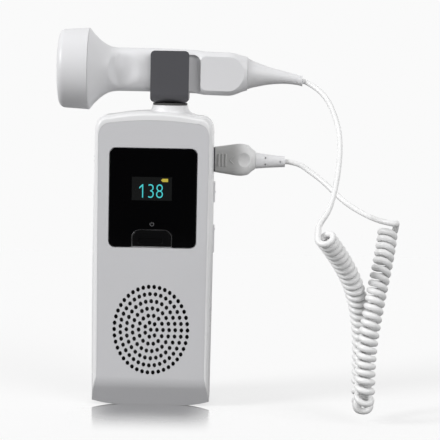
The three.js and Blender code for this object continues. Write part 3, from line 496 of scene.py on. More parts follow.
def side_plate(name: str, pen: Pen, low: float, high: float) -> Piece:
    """An outline in Y and Z, made thick along X."""
    return loft(name, [[at(x, u, v) for u, v in pen.outline()] for x in (low, high)])


def oval(x: float, centre: tuple[float, float], half_depth: float, half_height: float, power: float,
         sides: int = ROUND) -> list[Vector]:
    """A ring across X.

    Args:
        x: Its place along X.
        centre: Y and Z of its middle.
        half_depth: Half its size along Y.
        half_height: Half its size along Z.
        power: How square it is: 2 is an ellipse, and a higher number is nearer a rectangle.
        sides: How many points it has.

    Returns:
        Its points.
    """
    def share(value: float) -> float:
        """Share of the half size that a cosine or a sine stands for."""
        return math.copysign(abs(value) ** (2 / power), value)

    ring = []
    for i in range(sides):
        angle = 2 * math.pi * i / sides
        ring.append(at(x, centre[0] + half_depth * share(math.cos(angle)),
                       centre[1] + half_height * share(math.sin(angle))))
    return ring


def eased(share: float) -> float:
    """Makes a share that runs from 0 to 1 start and end softly."""
    return share * share * (3 - 2 * share)


def run_through(stations: Sequence[Sequence[float]], steps: int) -> list[list[float]]:
    """Rows between rows on smooth lines that never overshoot, spaced along the first column.

    Args:
        stations: Rows of numbers; the first number grows from row to row.
        steps: How many rows each stretch gets.

    Returns:
        The rows with the added ones.
    """
    width = len(stations[0])
    slopes = [[0.0] * width for _ in stations]
    for k in range(1, len(stations) - 1):
        before = stations[k][0] - stations[k - 1][0]
        after = stations[k + 1][0] - stations[k][0]
        for c in range(width):
            left = (stations[k][c] - stations[k - 1][c]) / before
            right = (stations[k + 1][c] - stations[k][c]) / after
            slopes[k][c] = 0.0 if left * right <= 0 else 2 * left * right / (left + right)
    for end, inner in ((0, 1), (-1, -2)):
        stretch = stations[inner][0] - stations[end][0]
        for c in range(width):
            slope = (stations[inner][c] - stations[end][c]) / stretch
            slopes[end][c] = 1.5 * slope - slopes[inner][c] / 2 if slope else 0.0
    rows = [list(stations[0])]
    for k in range(len(stations) - 1):
        stretch = stations[k + 1][0] - stations[k][0]
        for i in range(1, steps + 1):
            t = i / steps
            row = [(2 * t**3 - 3 * t**2 + 1) * stations[k][c] + (t**3 - 2 * t**2 + t) * stretch * slopes[k][c]
                   + (3 * t**2 - 2 * t**3) * stations[k + 1][c] + (t**3 - t**2) * stretch * slopes[k + 1][c]
                   for c in range(width)]
            row[0] = stations[k][0] + t * stretch
            rows.append(row)
    return rows


# Finishes

def linear(code: str) -> tuple[float, float, float, float]:
    """Turns an sRGB hex colour such as #ffffff to the linear colour that a shader takes."""
    channels = [int(code[i:i + 2], 16) / 255 for i in (1, 3, 5)]
    return (*[c / 12.92 if c <= 0.04045 else ((c + 0.055) / 1.055) ** 2.4 for c in channels], 1.0)


def add_node(tree: Tree, kind: str, links: Optional[dict] = None, **settings) -> bpy.types.Node:
    """Adds a node, sets it up and links it.

    Args:
        tree: The material's node tree.
        kind: The node's type name.
        links: For each input, by name or number, a value or the socket that feeds it.
        **settings: The node's own settings.

    Returns:
        The node.
    """
    node = tree.nodes.new(kind)
    for name, value in settings.items():
        setattr(node, name, value)
    for name, value in (links or {}).items():
        if isinstance(value, Socket):
            tree.links.new(value, node.inputs[name])
        else:
            node.inputs[name].default_value = value
    return node


def between(tree: Tree, value: Socket, start: float, end: float,
            first: float = 0.0, last: float = 1.0, soft: bool = True) -> Socket:
    """Adds a node that turns one number to another while a value runs between two places.

    Args:
        tree: The node tree.
        value: The value.
        start: Where the change starts.
        end: Where it ends.
        first: What the node gives at the start.
        last: What it gives at the end.
        soft: Whether the change starts and ends softly.

    Returns:
        What the node gives.
    """
    node = add_node(tree, "ShaderNodeMapRange", {
        "Value": value, "From Min": start, "From Max": end, "To Min": first, "To Max": last},
                    interpolation_type="SMOOTHSTEP" if soft else "LINEAR")
    return node.outputs["Result"]


def worked_out(tree: Tree, operation: str, *values) -> Socket:
    """Adds a maths node that works on numbers or sockets, and gives its result."""
    return add_node(tree, "ShaderNodeMath", dict(enumerate(values)), operation=operation).outputs[0]


def new_material(name: str) -> tuple[bpy.types.Material, Tree]:
    """Makes a material with an empty node tree.

    Args:
        name: Name of the material.

    Returns:
        The material and its tree.
    """
    material = bpy.data.materials.new(name)
    material.use_nodes = True
    material.node_tree.nodes.clear()
    return material, material.node_tree


def end_with(tree: Tree, shader: bpy.types.Node) -> None:
    """Links a shader to the material's output."""
    add_node(tree, "ShaderNodeOutputMaterial", {"Surface": shader.outputs[0]})


@dataclass(frozen=True)
class Moulded:
    """Moulded plastic or rubber: a spark-eroded grain, and a tone that drifts a little over the piece. Where
    a span along X is given, the tone runs from the colour to the drift along X instead: painted shade.

    A real grain of 0.05 to 0.1 mm is too fine to show, so it is drawn several times as coarse.
    """

    name: str
    colour: str
    drift: str                  # the tone that the colour drifts to
    roughness: float
    grain: float = 0.7 * MM
    relief: float = 0.012 * MM  # height of the grain
    spread: float = 0.06        # how far the roughness wanders
    cloud: float = 28 * MM      # size of the areas over which tone and roughness wander
    ior: float = 1.5
    translucency: float = 0.0   # share of light that goes in under the skin
    light_reach: float = 0.6 * MM  # how far that light goes
    light_shares: tuple[float, float, float] = (1.0, 0.95, 0.9)  # of that reach, for red, green and blue
    painted_shade_span_x: Optional[tuple[float, float]] = None  # places along X between which the colour turns to the drift: painted shade along the piece

    def make(self) -> bpy.types.Material:
        """Builds the material.

        Returns:
            The material.
        """
        material, tree = new_material(self.name)
        place = add_node(tree, "ShaderNodeTexCoord").outputs["Object"]
        clouds = add_node(tree, "ShaderNodeTexNoise", {
            "Vector": place, "Scale": 1 / self.cloud, "Detail": 3.0}).outputs["Fac"]
        grain = add_node(tree, "ShaderNodeTexNoise", {
            "Vector": place, "Scale": 1 / self.grain, "Detail": 2.0}).outputs["Fac"]
        turn = clouds
        # A span along X paints shade: the colour turns to the drift along the piece instead of in clouds
        if self.painted_shade_span_x:
            split = add_node(tree, "ShaderNodeSeparateXYZ", {0: place})
            turn = between(tree, split.outputs["X"], *self.painted_shade_span_x)
        tone = add_node(tree, "ShaderNodeMix", {0: turn, 6: linear(self.colour), 7: linear(self.drift)},
                        data_type="RGBA")
        sheen = between(tree, clouds, 0.3, 0.7, self.roughness - self.spread, self.roughness + self.spread,
                        soft=False)
        relief = add_node(tree, "ShaderNodeBump", {"Height": grain, "Distance": self.relief, "Strength": 1.0})
        shader = add_node(tree, "ShaderNodeBsdfPrincipled", {
            "Base Color": tone.outputs[2], "Roughness": sheen, "IOR": self.ior,
            "Normal": relief.outputs["Normal"], "Subsurface Weight": self.translucency,
            "Subsurface Radius": self.light_shares, "Subsurface Scale": self.light_reach})
        end_with(tree, shader)
        return material


@dataclass(frozen=True)
class Plated:
    """Nickel-plated or drawn steel with fine scratches along one axis."""

    name: str
    colour: str
    roughness: float
    drawn_out: tuple[float, float, float]  # how many times as long as wide a scratch is, along each axis
    scratch: float = 0.4 * MM
    shine: float = 0.08                    # how much smoother the best places are
    wear: float = 0.12                     # how much rougher the worn places are

    def make(self) -> bpy.types.Material:
        """Builds the material.

        Returns:
            The material.
        """
        material, tree = new_material(self.name)
        place = add_node(tree, "ShaderNodeTexCoord").outputs["Object"]
        drawn = add_node(tree, "ShaderNodeMapping", {"Vector": place,
                                                     "Scale": [1 / times for times in self.drawn_out]})
        scratches = add_node(tree, "ShaderNodeTexNoise", {
            "Vector": drawn.outputs[0], "Scale": 1 / self.scratch, "Detail": 3.0})
        worn = between(tree, scratches.outputs["Fac"], 0.3, 0.7, self.roughness - self.shine,
                       self.roughness + self.wear, soft=False)
        shader = add_node(tree, "ShaderNodeBsdfPrincipled", {
            "Base Color": linear(self.colour), "Metallic": 1.0, "Roughness": worn})
        end_with(tree, shader)
        return material


@dataclass(frozen=True)
class CircuitBoard:
    """Glass-epoxy board under green solder mask, with copper tracks that show through as lighter lines."""

    name: str
    mask: str = "#17492f"
    track: str = "#2f7049"
    pitch: float = 1.6 * MM       # from track to track
    roughness: float = 0.35
    ior: float = 1.55

    def make(self) -> bpy.types.Material:
        """Builds the material.

        Returns:
            The material.
        """
        material, tree = new_material(self.name)
        place = add_node(tree, "ShaderNodeTexCoord").outputs["Object"]
        tracks = add_node(tree, "ShaderNodeTexBrick", {
            "Vector": place, "Scale": 1 / (4 * self.pitch), "Color1": linear(self.mask),
            "Color2": linear(self.mask), "Mortar": linear(self.track), "Mortar Size": 0.03})
        shader = add_node(tree, "ShaderNodeBsdfPrincipled", {
            "Base Color": tracks.outputs["Color"], "Roughness": self.roughness, "IOR": self.ior})
        end_with(tree, shader)
        return material


@dataclass(frozen=True)
class Lit:
    """Organic display pixels: they glow, and their brightness varies a little from one to the next."""

    name: str
    colour: str
    unlit: str = "#050505"
    pixel: float = 0.17 * MM
    faintest: float = 0.9
    brightest: float = 1.06

    def make(self) -> bpy.types.Material:
        """Builds the material.

        Returns:
            The material.
        """
        material, tree = new_material(self.name)
        place = add_node(tree, "ShaderNodeTexCoord").outputs["Object"]
        grid = add_node(tree, "ShaderNodeTexNoise", {"Vector": place, "Scale": 1 / self.pixel, "Detail": 0.0})
        glow = between(tree, grid.outputs["Fac"], 0, 1, self.faintest, self.brightest, soft=False)
        shader = add_node(tree, "ShaderNodeBsdfPrincipled", {
            "Base Color": linear(self.unlit), "Roughness": 0.3, "Emission Color": linear(self.colour),
            "Emission Strength": glow})
        end_with(tree, shader)
        return material


class Finish(Enum):
    """Every finish on the monitor."""

    # ABS from a finely spark-eroded tool, the probe's white plastic painted lighter: the extra white is
    # painted light on the case; soft broken highlights and no grain to see
    CASE_ABS = Moulded("white_abs_case_painted_lighter", "#efeff0", "#ebebec", 0.3)
    # The probe's and the keys' ABS, moulded satin: the case's plastic without its painted light, so a shade
    # greyer, with wider and softer highlights
    WHITE_ABS = Moulded("white_abs_satin", "#e4e4e6", "#dfdfe1", 0.34)
    # Coarsely spark-eroded ABS: matt, so the panel shows an even grey and hardly a highlight
    GREY_ABS = Moulded("grey_abs_matt", "#d0d0d3", "#ccccce", 0.5, grain=0.8 * MM, relief=0.02 * MM)
    # Polished acrylic: deep black that mirrors the studio sharply
    BLACK_PMMA = Moulded("black_acrylic_polished", "#020203", "#040405", 0.07, relief=0.002 * MM, spread=0.02,
                         ior=1.49)
    # Moulded acrylic with a fine skin: a dull sheen parts the key from the window
    BLACK_KEY = Moulded("black_acrylic_key", "#080809", "#0b0b0c", 0.32, relief=0.004 * MM, spread=0.03,
                        ior=1.25)
    # Cover glass over an unlit display: a trace lighter than the window round it
    DISPLAY_GLASS = Moulded("display_cover_glass", "#181919", "#1b1c1c", 0.12, relief=0.002 * MM, spread=0.02)
    # Satin moulded ABS: even dark grey, with a faint wide highlight along the edges; at the plug's nose it is
    # painted shade of the gap to the case
    DARK_ABS = Moulded("dark_grey_abs_satin_and_gap_shade", "#57575b", "#525256", 0.42, relief=0.016 * MM)
    # Extruded soft PVC: the whitest piece, with a thin highlight on every curl
    CORD_PVC = Moulded("white_pvc_cord", "#f3f3f3", "#ededed", 0.33, grain=1.2 * MM, relief=0.006 * MM,
                       ior=1.52)
    # PVC moulded over the cord: light goes in a little, so its shades are soft
    BOOT_PVC = Moulded("white_pvc_overmould", "#e7e7e8", "#e0e0e2", 0.42, ior=1.52, translucency=0.1)
    # PVC that turns softly from grey at the case end to white at the cord: the grey is painted shade on the
    # plug's face
    PLUG_PVC = Moulded("pvc_plug_painted_shade", "#b2b2b1", "#e4e4e4", 0.42, ior=1.52, painted_shade_span_x=(34.5 * MM, 42 * MM))
    # Moulded rubber: dull black that hardly answers the light; on the pad under the clip it is painted shade
    # of the gap there
    BLACK_RUBBER = Moulded("black_rubber", "#070707", "#0b0b0b", 0.8, relief=0.03 * MM)
    # Glass-filled nylon: black with a dry, faint sheen
    BLACK_NYLON = Moulded("black_nylon", "#1b1b1c", "#222224", 0.5)
    # Shrunk plastic sleeve: smooth and dark, with one narrow highlight down the cell
    CELL_SLEEVE = Moulded("cell_sleeve", "#3b3f46", "#434850", 0.3)
    # Fired, unglazed ceramic: chalky off-white
    CERAMIC = Moulded("fired_ceramic", "#d9d3c6", "#cfc9ba", 0.6)
    # Pad-printed ink: flat grey on the shiny window
    PRINTED_GREY = Moulded("grey_print", "#6a6a6c", "#5f5f61", 0.5)
    # Nickel plate on drawn steel: warm and bright, with fine lines along Z
    NICKEL = Plated("nickel_plated_steel", "#c9c9c6", 0.25, (1, 1, 12))
    # Zinc plate on turned steel: cooler and duller, with lines along Y
    STEEL = Plated("zinc_plated_steel", "#b4b8bc", 0.32, (1, 8, 1))
    # Glass-epoxy board under solder mask: glossy green with lighter tracks
    BOARD = CircuitBoard("green_circuit_board")
    # Lit pixels: cyan that glows on black
    DIGITS = Lit("display_digits_cyan", "#4fcfd2")
    # Lit pixels: dull yellow beside the digits
    BATTERY_ICON = Lit("display_icon_yellow", "#bfae42")

    def material(self) -> bpy.types.Material:
        """The finish's material, made once."""
        return bpy.data.materials.get(self.value.name) or self.value.make()


class Slot(Enum):
    """Names of material slots; nothing in this script hands them to a piece."""

    WHITE = "white_case"
    GREY = "grey_panel"
    GLOSS = "black_gloss"
    DARK = "dark_grey"
    CORD = "white_cord"
    RUBBER = "black_rubber"
    BOARD = "board"
    STEEL = "steel"
    CELL = "cell"
    CERAMIC = "ceramic"


def dress(piece: Piece, finish: Finish, body: Optional[str] = "case",
          stands_for: Sequence[str] = ()) -> Piece:
    """Gives a finished piece its material, its body and the CAD nodes that it stands for.

    Args:
        piece: The finished mesh.
        finish: Its finish.
        body: The CAD body that it rides on, or None where it is blended between two.
        stands_for: CAD nodes that it replaces.

    Returns:
        The piece.
    """
    piece.data.materials.clear()
    piece.data.materials.append(finish.material())
    if body:
        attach(piece, body)
    if stands_for:
        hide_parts(*stands_for)
    log.info("%s: %d faces", piece.name, len(piece.data.polygons))
    return piece


def second_finish(piece: Piece, finish: Finish, wanted: Callable) -> None:
    """Gives some faces of a dressed piece another finish.

    Args:
        piece: The dressed mesh.
        finish: The other finish.
        wanted: Test that a face has to pass.
    """
    piece.data.materials.append(finish.material())
    for face in piece.data.polygons:
        if wanted(face):
            face.material_index = len(piece.data.materials) - 1


@dataclass
class Case:
    """Front shell, rear shell with the neck and the battery bay, and the grey front panel."""

    half_width: float = 26.8 * MM
    bow: float = 0.4 * MM
    height: float = 134.4 * MM
    shoulder_drop: float = 2 * MM
    shoulder: float = 7.2 * MM
    foot_half: float = 13 * MM
    foot_rise: float = 2.1 * MM
    front: float = -15.2 * MM
    rear: float = 14.8 * MM
    seam: float = -6 * MM
    front_bevel: tuple[float, float] = (2 * MM, 6 * MM)
    rear_bevel: tuple[float, float] = (4 * MM, 5 * MM)
    bevel_steps: int = 8
    toe_height: float = 14 * MM
    toe_radius: float = 12 * MM
    toe_angle: float = math.radians(28)
    wall: float = 2 * MM
    neck_x: float = 6.6 * MM
    neck_top: float = 137 * MM
    neck_radii: tuple[float, float] = (8.1 * MM, 10.2 * MM)
    neck_flare: float = 3.3 * MM
    neck_front_share: float = 0.2  # how much of the flare the neck has in front and behind
    neck_flare_height: float = 3.8 * MM
    neck_root: float = 3 * MM
    panel_half: float = 24.85 * MM
    panel_taper: float = 0.55 * MM
    panel_top: float = 130.4 * MM
    panel_drop: float = 1.2 * MM
    panel_corner: float = 6.6 * MM
    panel_sheet: float = 1.2 * MM
    panel_joint: float = 0.06 * MM  # how wide the joint round the panel shows
    sweep_width: float = 1.3 * MM  # the panel's edge bends through this far outside its toe width
    sweep_height: float = 8 * MM
    sweep_end: float = 1.5 * MM
    panel_back: float = 1.4 * MM
    window_half: float = 19.6 * MM
    window_low: float = 73.2 * MM
    window_high: float = 117.8 * MM
    window_corner: float = 2.7 * MM
    grille_z: float = 35.6 * MM
    grille_rings: int = 6
    holes_in_ring: int = 7         # each ring has this many more than the one inside it
    grille_pitch: tuple[float, float] = (2.77 * MM, 3.27 * MM)
    grille_margin: float = 0.25 * MM
    grille_hole: tuple[float, float] = (1.72 * MM, 2.12 * MM)
    grille_edge: float = 0.12 * MM
    screw_x: float = 21.2 * MM
    screw_low: float = 12.2 * MM
    screw_high: float = 121.4 * MM
    screw_boss: float = 3 * MM
    screw_head: float = 2.1 * MM
    screw_sunk: float = 3.2 * MM
    screw_head_height: float = 1.6 * MM
    edge: float = 0.22 * MM
    panel_edge: float = 0.1 * MM
    bay_half: float = 15.9 * MM    # half width of the battery bay
    bay_floor: float = -2.4 * MM
    bay_plate: float = 1 * MM      # thickness of its floor
    bay_wall: float = 1.2 * MM
    door_ledge: float = 1.1 * MM   # how far the door rests on the shell all round
    jack_hole: float = 2.5 * MM
    socket_half: float = 4.6 * MM  # half depth of the opening for the probe's plug
    stem_hole: float = 3.3 * MM
    stem_root: float = 133.7 * MM  # the hole for the clip's stem goes down to here
    side_steps: int = 16           # lines in a side, a corner and the crown of the outline
    corner_steps: int = 12
    crown_steps: int = 24
    toe_steps: int = 14

    def outline(self, inset: float) -> Pen:
        """Outline of the case, seen from the front.

        Args:
            inset: How far inside the skin it runs.

        Returns:
            A pen that has drawn it.
        """
        half = self.half_width - inset
        top = self.height - self.shoulder_drop - inset
        radius = self.shoulder - inset
        foot = (self.foot_half + half) / 2
        toe = inset + self.foot_rise
        swell = half + 2 * self.bow
        crown = self.height + self.shoulder_drop - inset
        pen = Pen(-self.foot_half, inset).line(self.foot_half, inset).bend(foot, inset, half, toe)
        pen.bend(swell, top / 2, half, top - radius, self.side_steps)
        pen.bend(half, top, half - radius, top, self.corner_steps)
        pen.bend(0, crown, radius - half, top, self.crown_steps)
        pen.bend(-half, top, -half, top - radius, self.corner_steps)
        pen.bend(-swell, top / 2, -half, toe, self.side_steps)
        return pen.bend(-foot, inset, -self.foot_half, inset)

    def behind_front(self, inset: float) -> Piece:
        """Everything behind the front skin, as a block.

        Args:
            inset: How far behind the skin it begins.

        Returns:
            The block.
        """
        slope = math.tan(self.toe_angle)
        centre = self.front + self.toe_radius
        radius = self.toe_radius - inset
        far = self.rear + OVERRUN
        top = self.neck_top + OVERRUN
        pen = Pen(far, top).line(self.front + inset, top)
        pen.arc(centre, self.toe_height, radius, math.pi, math.pi + self.toe_angle, self.toe_steps)
        y, z = pen.points[-1]
        pen.line(y + slope * (z + OVERRUN), -OVERRUN).line(far, -OVERRUN)
        return side_plate("behind_front", pen, -2 * self.half_width, 2 * self.half_width)

    def neck(self) -> Piece:
        """Builds the flared oval neck that carries the holder clip.

        Returns:
            The neck.
        """
        spread = self.neck_radii[0] + self.neck_flare
        deeper = self.neck_radii[1] - self.neck_radii[0] * self.neck_front_share
        profile = [(spread, self.neck_top - self.neck_flare_height - self.neck_root)]
        for i in range(self.corner_steps + 1):
            angle = math.pi / 2 * i / self.corner_steps
            profile.append((spread - self.neck_flare * math.sin(angle),
                            self.neck_top - self.neck_flare_height * math.cos(angle)))
        around = [2 * math.pi * i / ROUND for i in range(ROUND)]
        return loft("neck", [[at(self.neck_x + r * math.cos(a),
                                 (deeper + r * self.neck_front_share) * math.sin(a), z) for a in around]
                             for r, z in profile])

    def form(self) -> Piece:
        """Builds the outer form of the whole case with its neck.

        Returns:
            The form.
        """
        rear_rings, front_rings = [], []
        for i in range(self.bevel_steps + 1):
            angle = math.pi / 2 * i / self.bevel_steps
            inward, deep = 1 - math.sin(angle), 1 - math.cos(angle)
            rear_rings.append((self.rear_bevel[0] * inward, self.rear - self.rear_bevel[1] * deep))
            front_rings.insert(0, (self.front_bevel[0] * inward, self.front + self.front_bevel[1] * deep))
        rings = [[at(u, y, v) for u, v in self.outline(inset).points[:-1]]
                 for inset, y in rear_rings + front_rings]
        form = loft("case_form", rings)
        carve(form, self.behind_front(0), Cut.KEEP)
        return carve(form, self.neck(), Cut.JOIN)

    def hollow(self) -> Piece:
        """Builds the inside of the case.

        Returns:
            A tool that hollows the shells.
        """
        front = self.panel_sheet + GAP + self.panel_back
        inside = front_plate("hollow", self.outline(self.wall), self.front + front, self.rear - self.wall)
        return carve(inside, self.behind_front(front), Cut.KEEP)

    def panel_room(self, sheet: float, grow: float) -> Piece:
        """Builds the room of the grey panel, which sweeps out to the full width at the foot.

        Args:
            sheet: How deep it is behind the skin.
            grow: How much larger than the panel it is all round.

        Returns:
            The room.
        """
        half = self.panel_half + grow
        toe = half - self.panel_taper
        top = self.panel_top + grow
        corner = top - self.panel_drop
        radius = self.panel_corner + grow
        foot = self.half_width + grow
        sweep = toe + self.sweep_width
        steps = self.corner_steps
        pen = Pen(-foot, -OVERRUN).line(foot, -OVERRUN).line(foot, self.sweep_end)
        pen.bend(sweep, self.sweep_height, toe, self.toe_height, steps).line(half, corner - radius)
        pen.bend(half, corner, half - radius, corner, steps)
        pen.bend(0, top + self.panel_drop, radius - half, corner, self.crown_steps)
        pen.bend(-half, corner, -half, corner - radius, steps).line(-toe, self.toe_height)
        pen.bend(-sweep, self.sweep_height, -foot, self.sweep_end, steps)
        return carve(front_plate("panel_room", pen, self.front - OVERRUN, 0), self.behind_front(sheet))

    def window(self, grow: float) -> Pen:
        """Outline of the window, larger than it all round by what it grows."""
        return rounded(-self.window_half - grow, self.window_low - grow, self.window_half + grow,
                       self.window_high + grow, self.window_corner + grow)

    def holes(self) -> Piece:
        """Builds the grille's holes: one in the middle, and rings that all begin on its right.

        Returns:
            A tool that drills them.
        """
        places = [(0.0, 0.0)]
        for ring in range(1, self.grille_rings + 1):
            count = self.holes_in_ring * ring
            for i in range(count):
                angle = 2 * math.pi * i / count
                places.append((ring * self.grille_pitch[0] * math.cos(angle),
                               ring * self.grille_pitch[1] * math.sin(angle)))
        width, height = self.grille_hole
        first = bar("hole", Along.Y, width / 2, at(0, self.front - OVERRUN, self.grille_z),
                    at(0, self.front + self.panel_sheet + OVERRUN, self.grille_z), SMALL_ROUND)
        resize(first, (1, 1, height / width), (0, 0, self.grille_z))
        drilled = [move(twin(first, "hole"), at(x, 0, z)) for x, z in places[1:]]
        return join("holes", [first, *drilled])

    def screw_places(self) -> list[Vector]:
        """Where the four case screws stand."""
        return [at(side * self.screw_x, 0, z) for z in (self.screw_low, self.screw_high) for side in (-1, 1)]

    def side_openings(self) -> list[Piece]:
        """Builds what opens the case walls for the keys, the cover and the socket.

        Returns:
            A tool for each opening.
        """
        tools = []
        for node in ("mode_key", "volume_rocker", "port_cover", "probe_socket"):
            low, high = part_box(node)
            side = 1 if high.x > 0 else -1
            if node == "mode_key":
                rim = at(0, KEY_FLANGE, KEY_FLANGE)
                low, high = low + rim, high - rim
            outer = side * (self.half_width + OVERRUN)
            inner = low.x - GAP if node == "port_cover" else side * (self.half_width - 2 * self.wall)
            half = self.socket_half if node == "probe_socket" else (high.y - low.y) / 2
            tools.append(block(f"{node}_opening", at(min(inner, outer), -half - GAP, low.z - GAP),
                               at(max(inner, outer), half + GAP, high.z + GAP)))
        return tools

    def build_panel(self, form: Piece) -> None:
        """Builds the grey front panel with its window and its grille.

        Args:
            form: Outer form of the whole case.
        """
        panel = twin(form, "grey_front_panel")
        carve(panel, self.panel_room(self.panel_sheet, 0), Cut.KEEP)
        carve(panel, front_plate("window", self.window(GAP), self.front - OVERRUN, 0))
        soften(panel, self.panel_edge)
        carve(panel, self.holes())
        soften(panel, self.grille_edge, 2, 60)
        dress(smooth(panel), Finish.GREY_ABS, stands_for=["front_panel"])

    def build_front_shell(self, form: Piece) -> None:
        """Builds the white front shell round the panel.

        Args:
            form: Outer form of the whole case.
        """
        shell = halve(twin(form, "front_case_shell"), at(0, self.seam - GAP / 2, 0), at(0, 1, 0))
        carve(shell, self.panel_room(self.panel_sheet + GAP, self.panel_joint))
        carve(shell, self.hollow())
        wide, tall = self.grille_pitch
        opening = self.grille_rings * wide + self.grille_hole[0] / 2 + self.grille_margin
        carve(shell, bar("grille_opening", Along.Y, opening, at(0, self.front, self.grille_z),
                         at(0, self.seam, self.grille_z), ROUND, tall / wide))
        soften(shell, self.edge)
        # The case's white is the probe's plastic painted lighter: painted light
        dress(smooth(shell), Finish.CASE_ABS, stands_for=["front_shell"])

    def add_bay_walls(self, shell: Piece) -> None:
        """Adds the walls of the battery bay and the ledge round its door.

        Args:
            shell: The rear shell.
        """
        low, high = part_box("battery_door")
        skin = self.rear - self.wall / 2
        half = self.bay_half + self.bay_wall
        raised = self.door_ledge - self.bay_wall
        carve(shell, block("bay_walls", at(-half, self.bay_floor - self.bay_plate, low.z + raised),
                           at(half, skin, high.z - raised)), Cut.JOIN)
        reach = GAP + self.door_ledge
        carve(shell, block("door_ledge", low - at(reach, GAP + self.bay_wall, reach),
                           at(high.x + reach, skin, high.z + reach)), Cut.JOIN)

    def add_screw_well(self, shell: Piece, place: Vector) -> None:
        """Adds a screw boss with the well that its head sits in.

        Args:
            shell: The rear shell.
            place: Where the screw stands.
        """
        carve(shell, bar("boss", Along.Y, self.screw_boss, place + at(0, self.seam + GAP, 0),
                         place + at(0, self.rear - self.wall / 2, 0)), Cut.JOIN)
        seat = self.rear - self.screw_sunk - self.screw_head_height - GAP
        carve(shell, bar("well", Along.Y, self.screw_head + GAP, place + at(0, seat, 0),
                         place + at(0, self.rear + OVERRUN, 0)))

    def cut_bay(self, shell: Piece) -> None:
        """Cuts the battery bay and the room of its door.

        Args:
            shell: The rear shell.
        """
        low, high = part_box("battery_door")
        far = self.rear + OVERRUN
        carve(shell, block("bay", at(-self.bay_half, self.bay_floor, low.z + self.door_ledge),
                           at(self.bay_half, far, high.z - self.door_ledge)))
        carve(shell, block("door_room", low - at(GAP, GAP, GAP), at(high.x + GAP, far, high.z + GAP)))

    def build_rear_shell(self, form: Piece) -> None:
        """Builds the white rear shell with its battery bay, screw wells and side openings.

        Args:
            form: Outer form of the whole case.
        """
        shell = halve(twin(form, "rear_case_shell"), at(0, self.seam + GAP / 2, 0), at(0, -1, 0))
        carve(shell, self.hollow())
        self.add_bay_walls(shell)
        for place in self.screw_places():
            self.add_screw_well(shell, place)
        self.cut_bay(shell)
        for tool in self.side_openings():
            carve(shell, tool)
        low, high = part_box("headphone_jack")
        jack_z = (low.z + high.z) / 2
        carve(shell, bar("jack_hole", Along.X, self.jack_hole,
                         at(self.half_width - 2 * self.wall, 0, jack_z),
                         at(self.half_width + OVERRUN, 0, jack_z)))
        carve(shell, bar("stem_hole", Along.Z, self.stem_hole, at(self.neck_x, 0, self.stem_root),
                         at(self.neck_x, 0, self.neck_top + OVERRUN)))
        soften(shell, self.edge)
        # The case's white is the probe's plastic painted lighter: painted light
        dress(smooth(shell), Finish.CASE_ABS, stands_for=["rear_shell"])

    def build(self) -> None:
        """Builds the case."""
        form = self.form()
        self.build_panel(form)
        self.build_front_shell(form)
        self.build_rear_shell(form)
        bpy.data.meshes.remove(form.data)


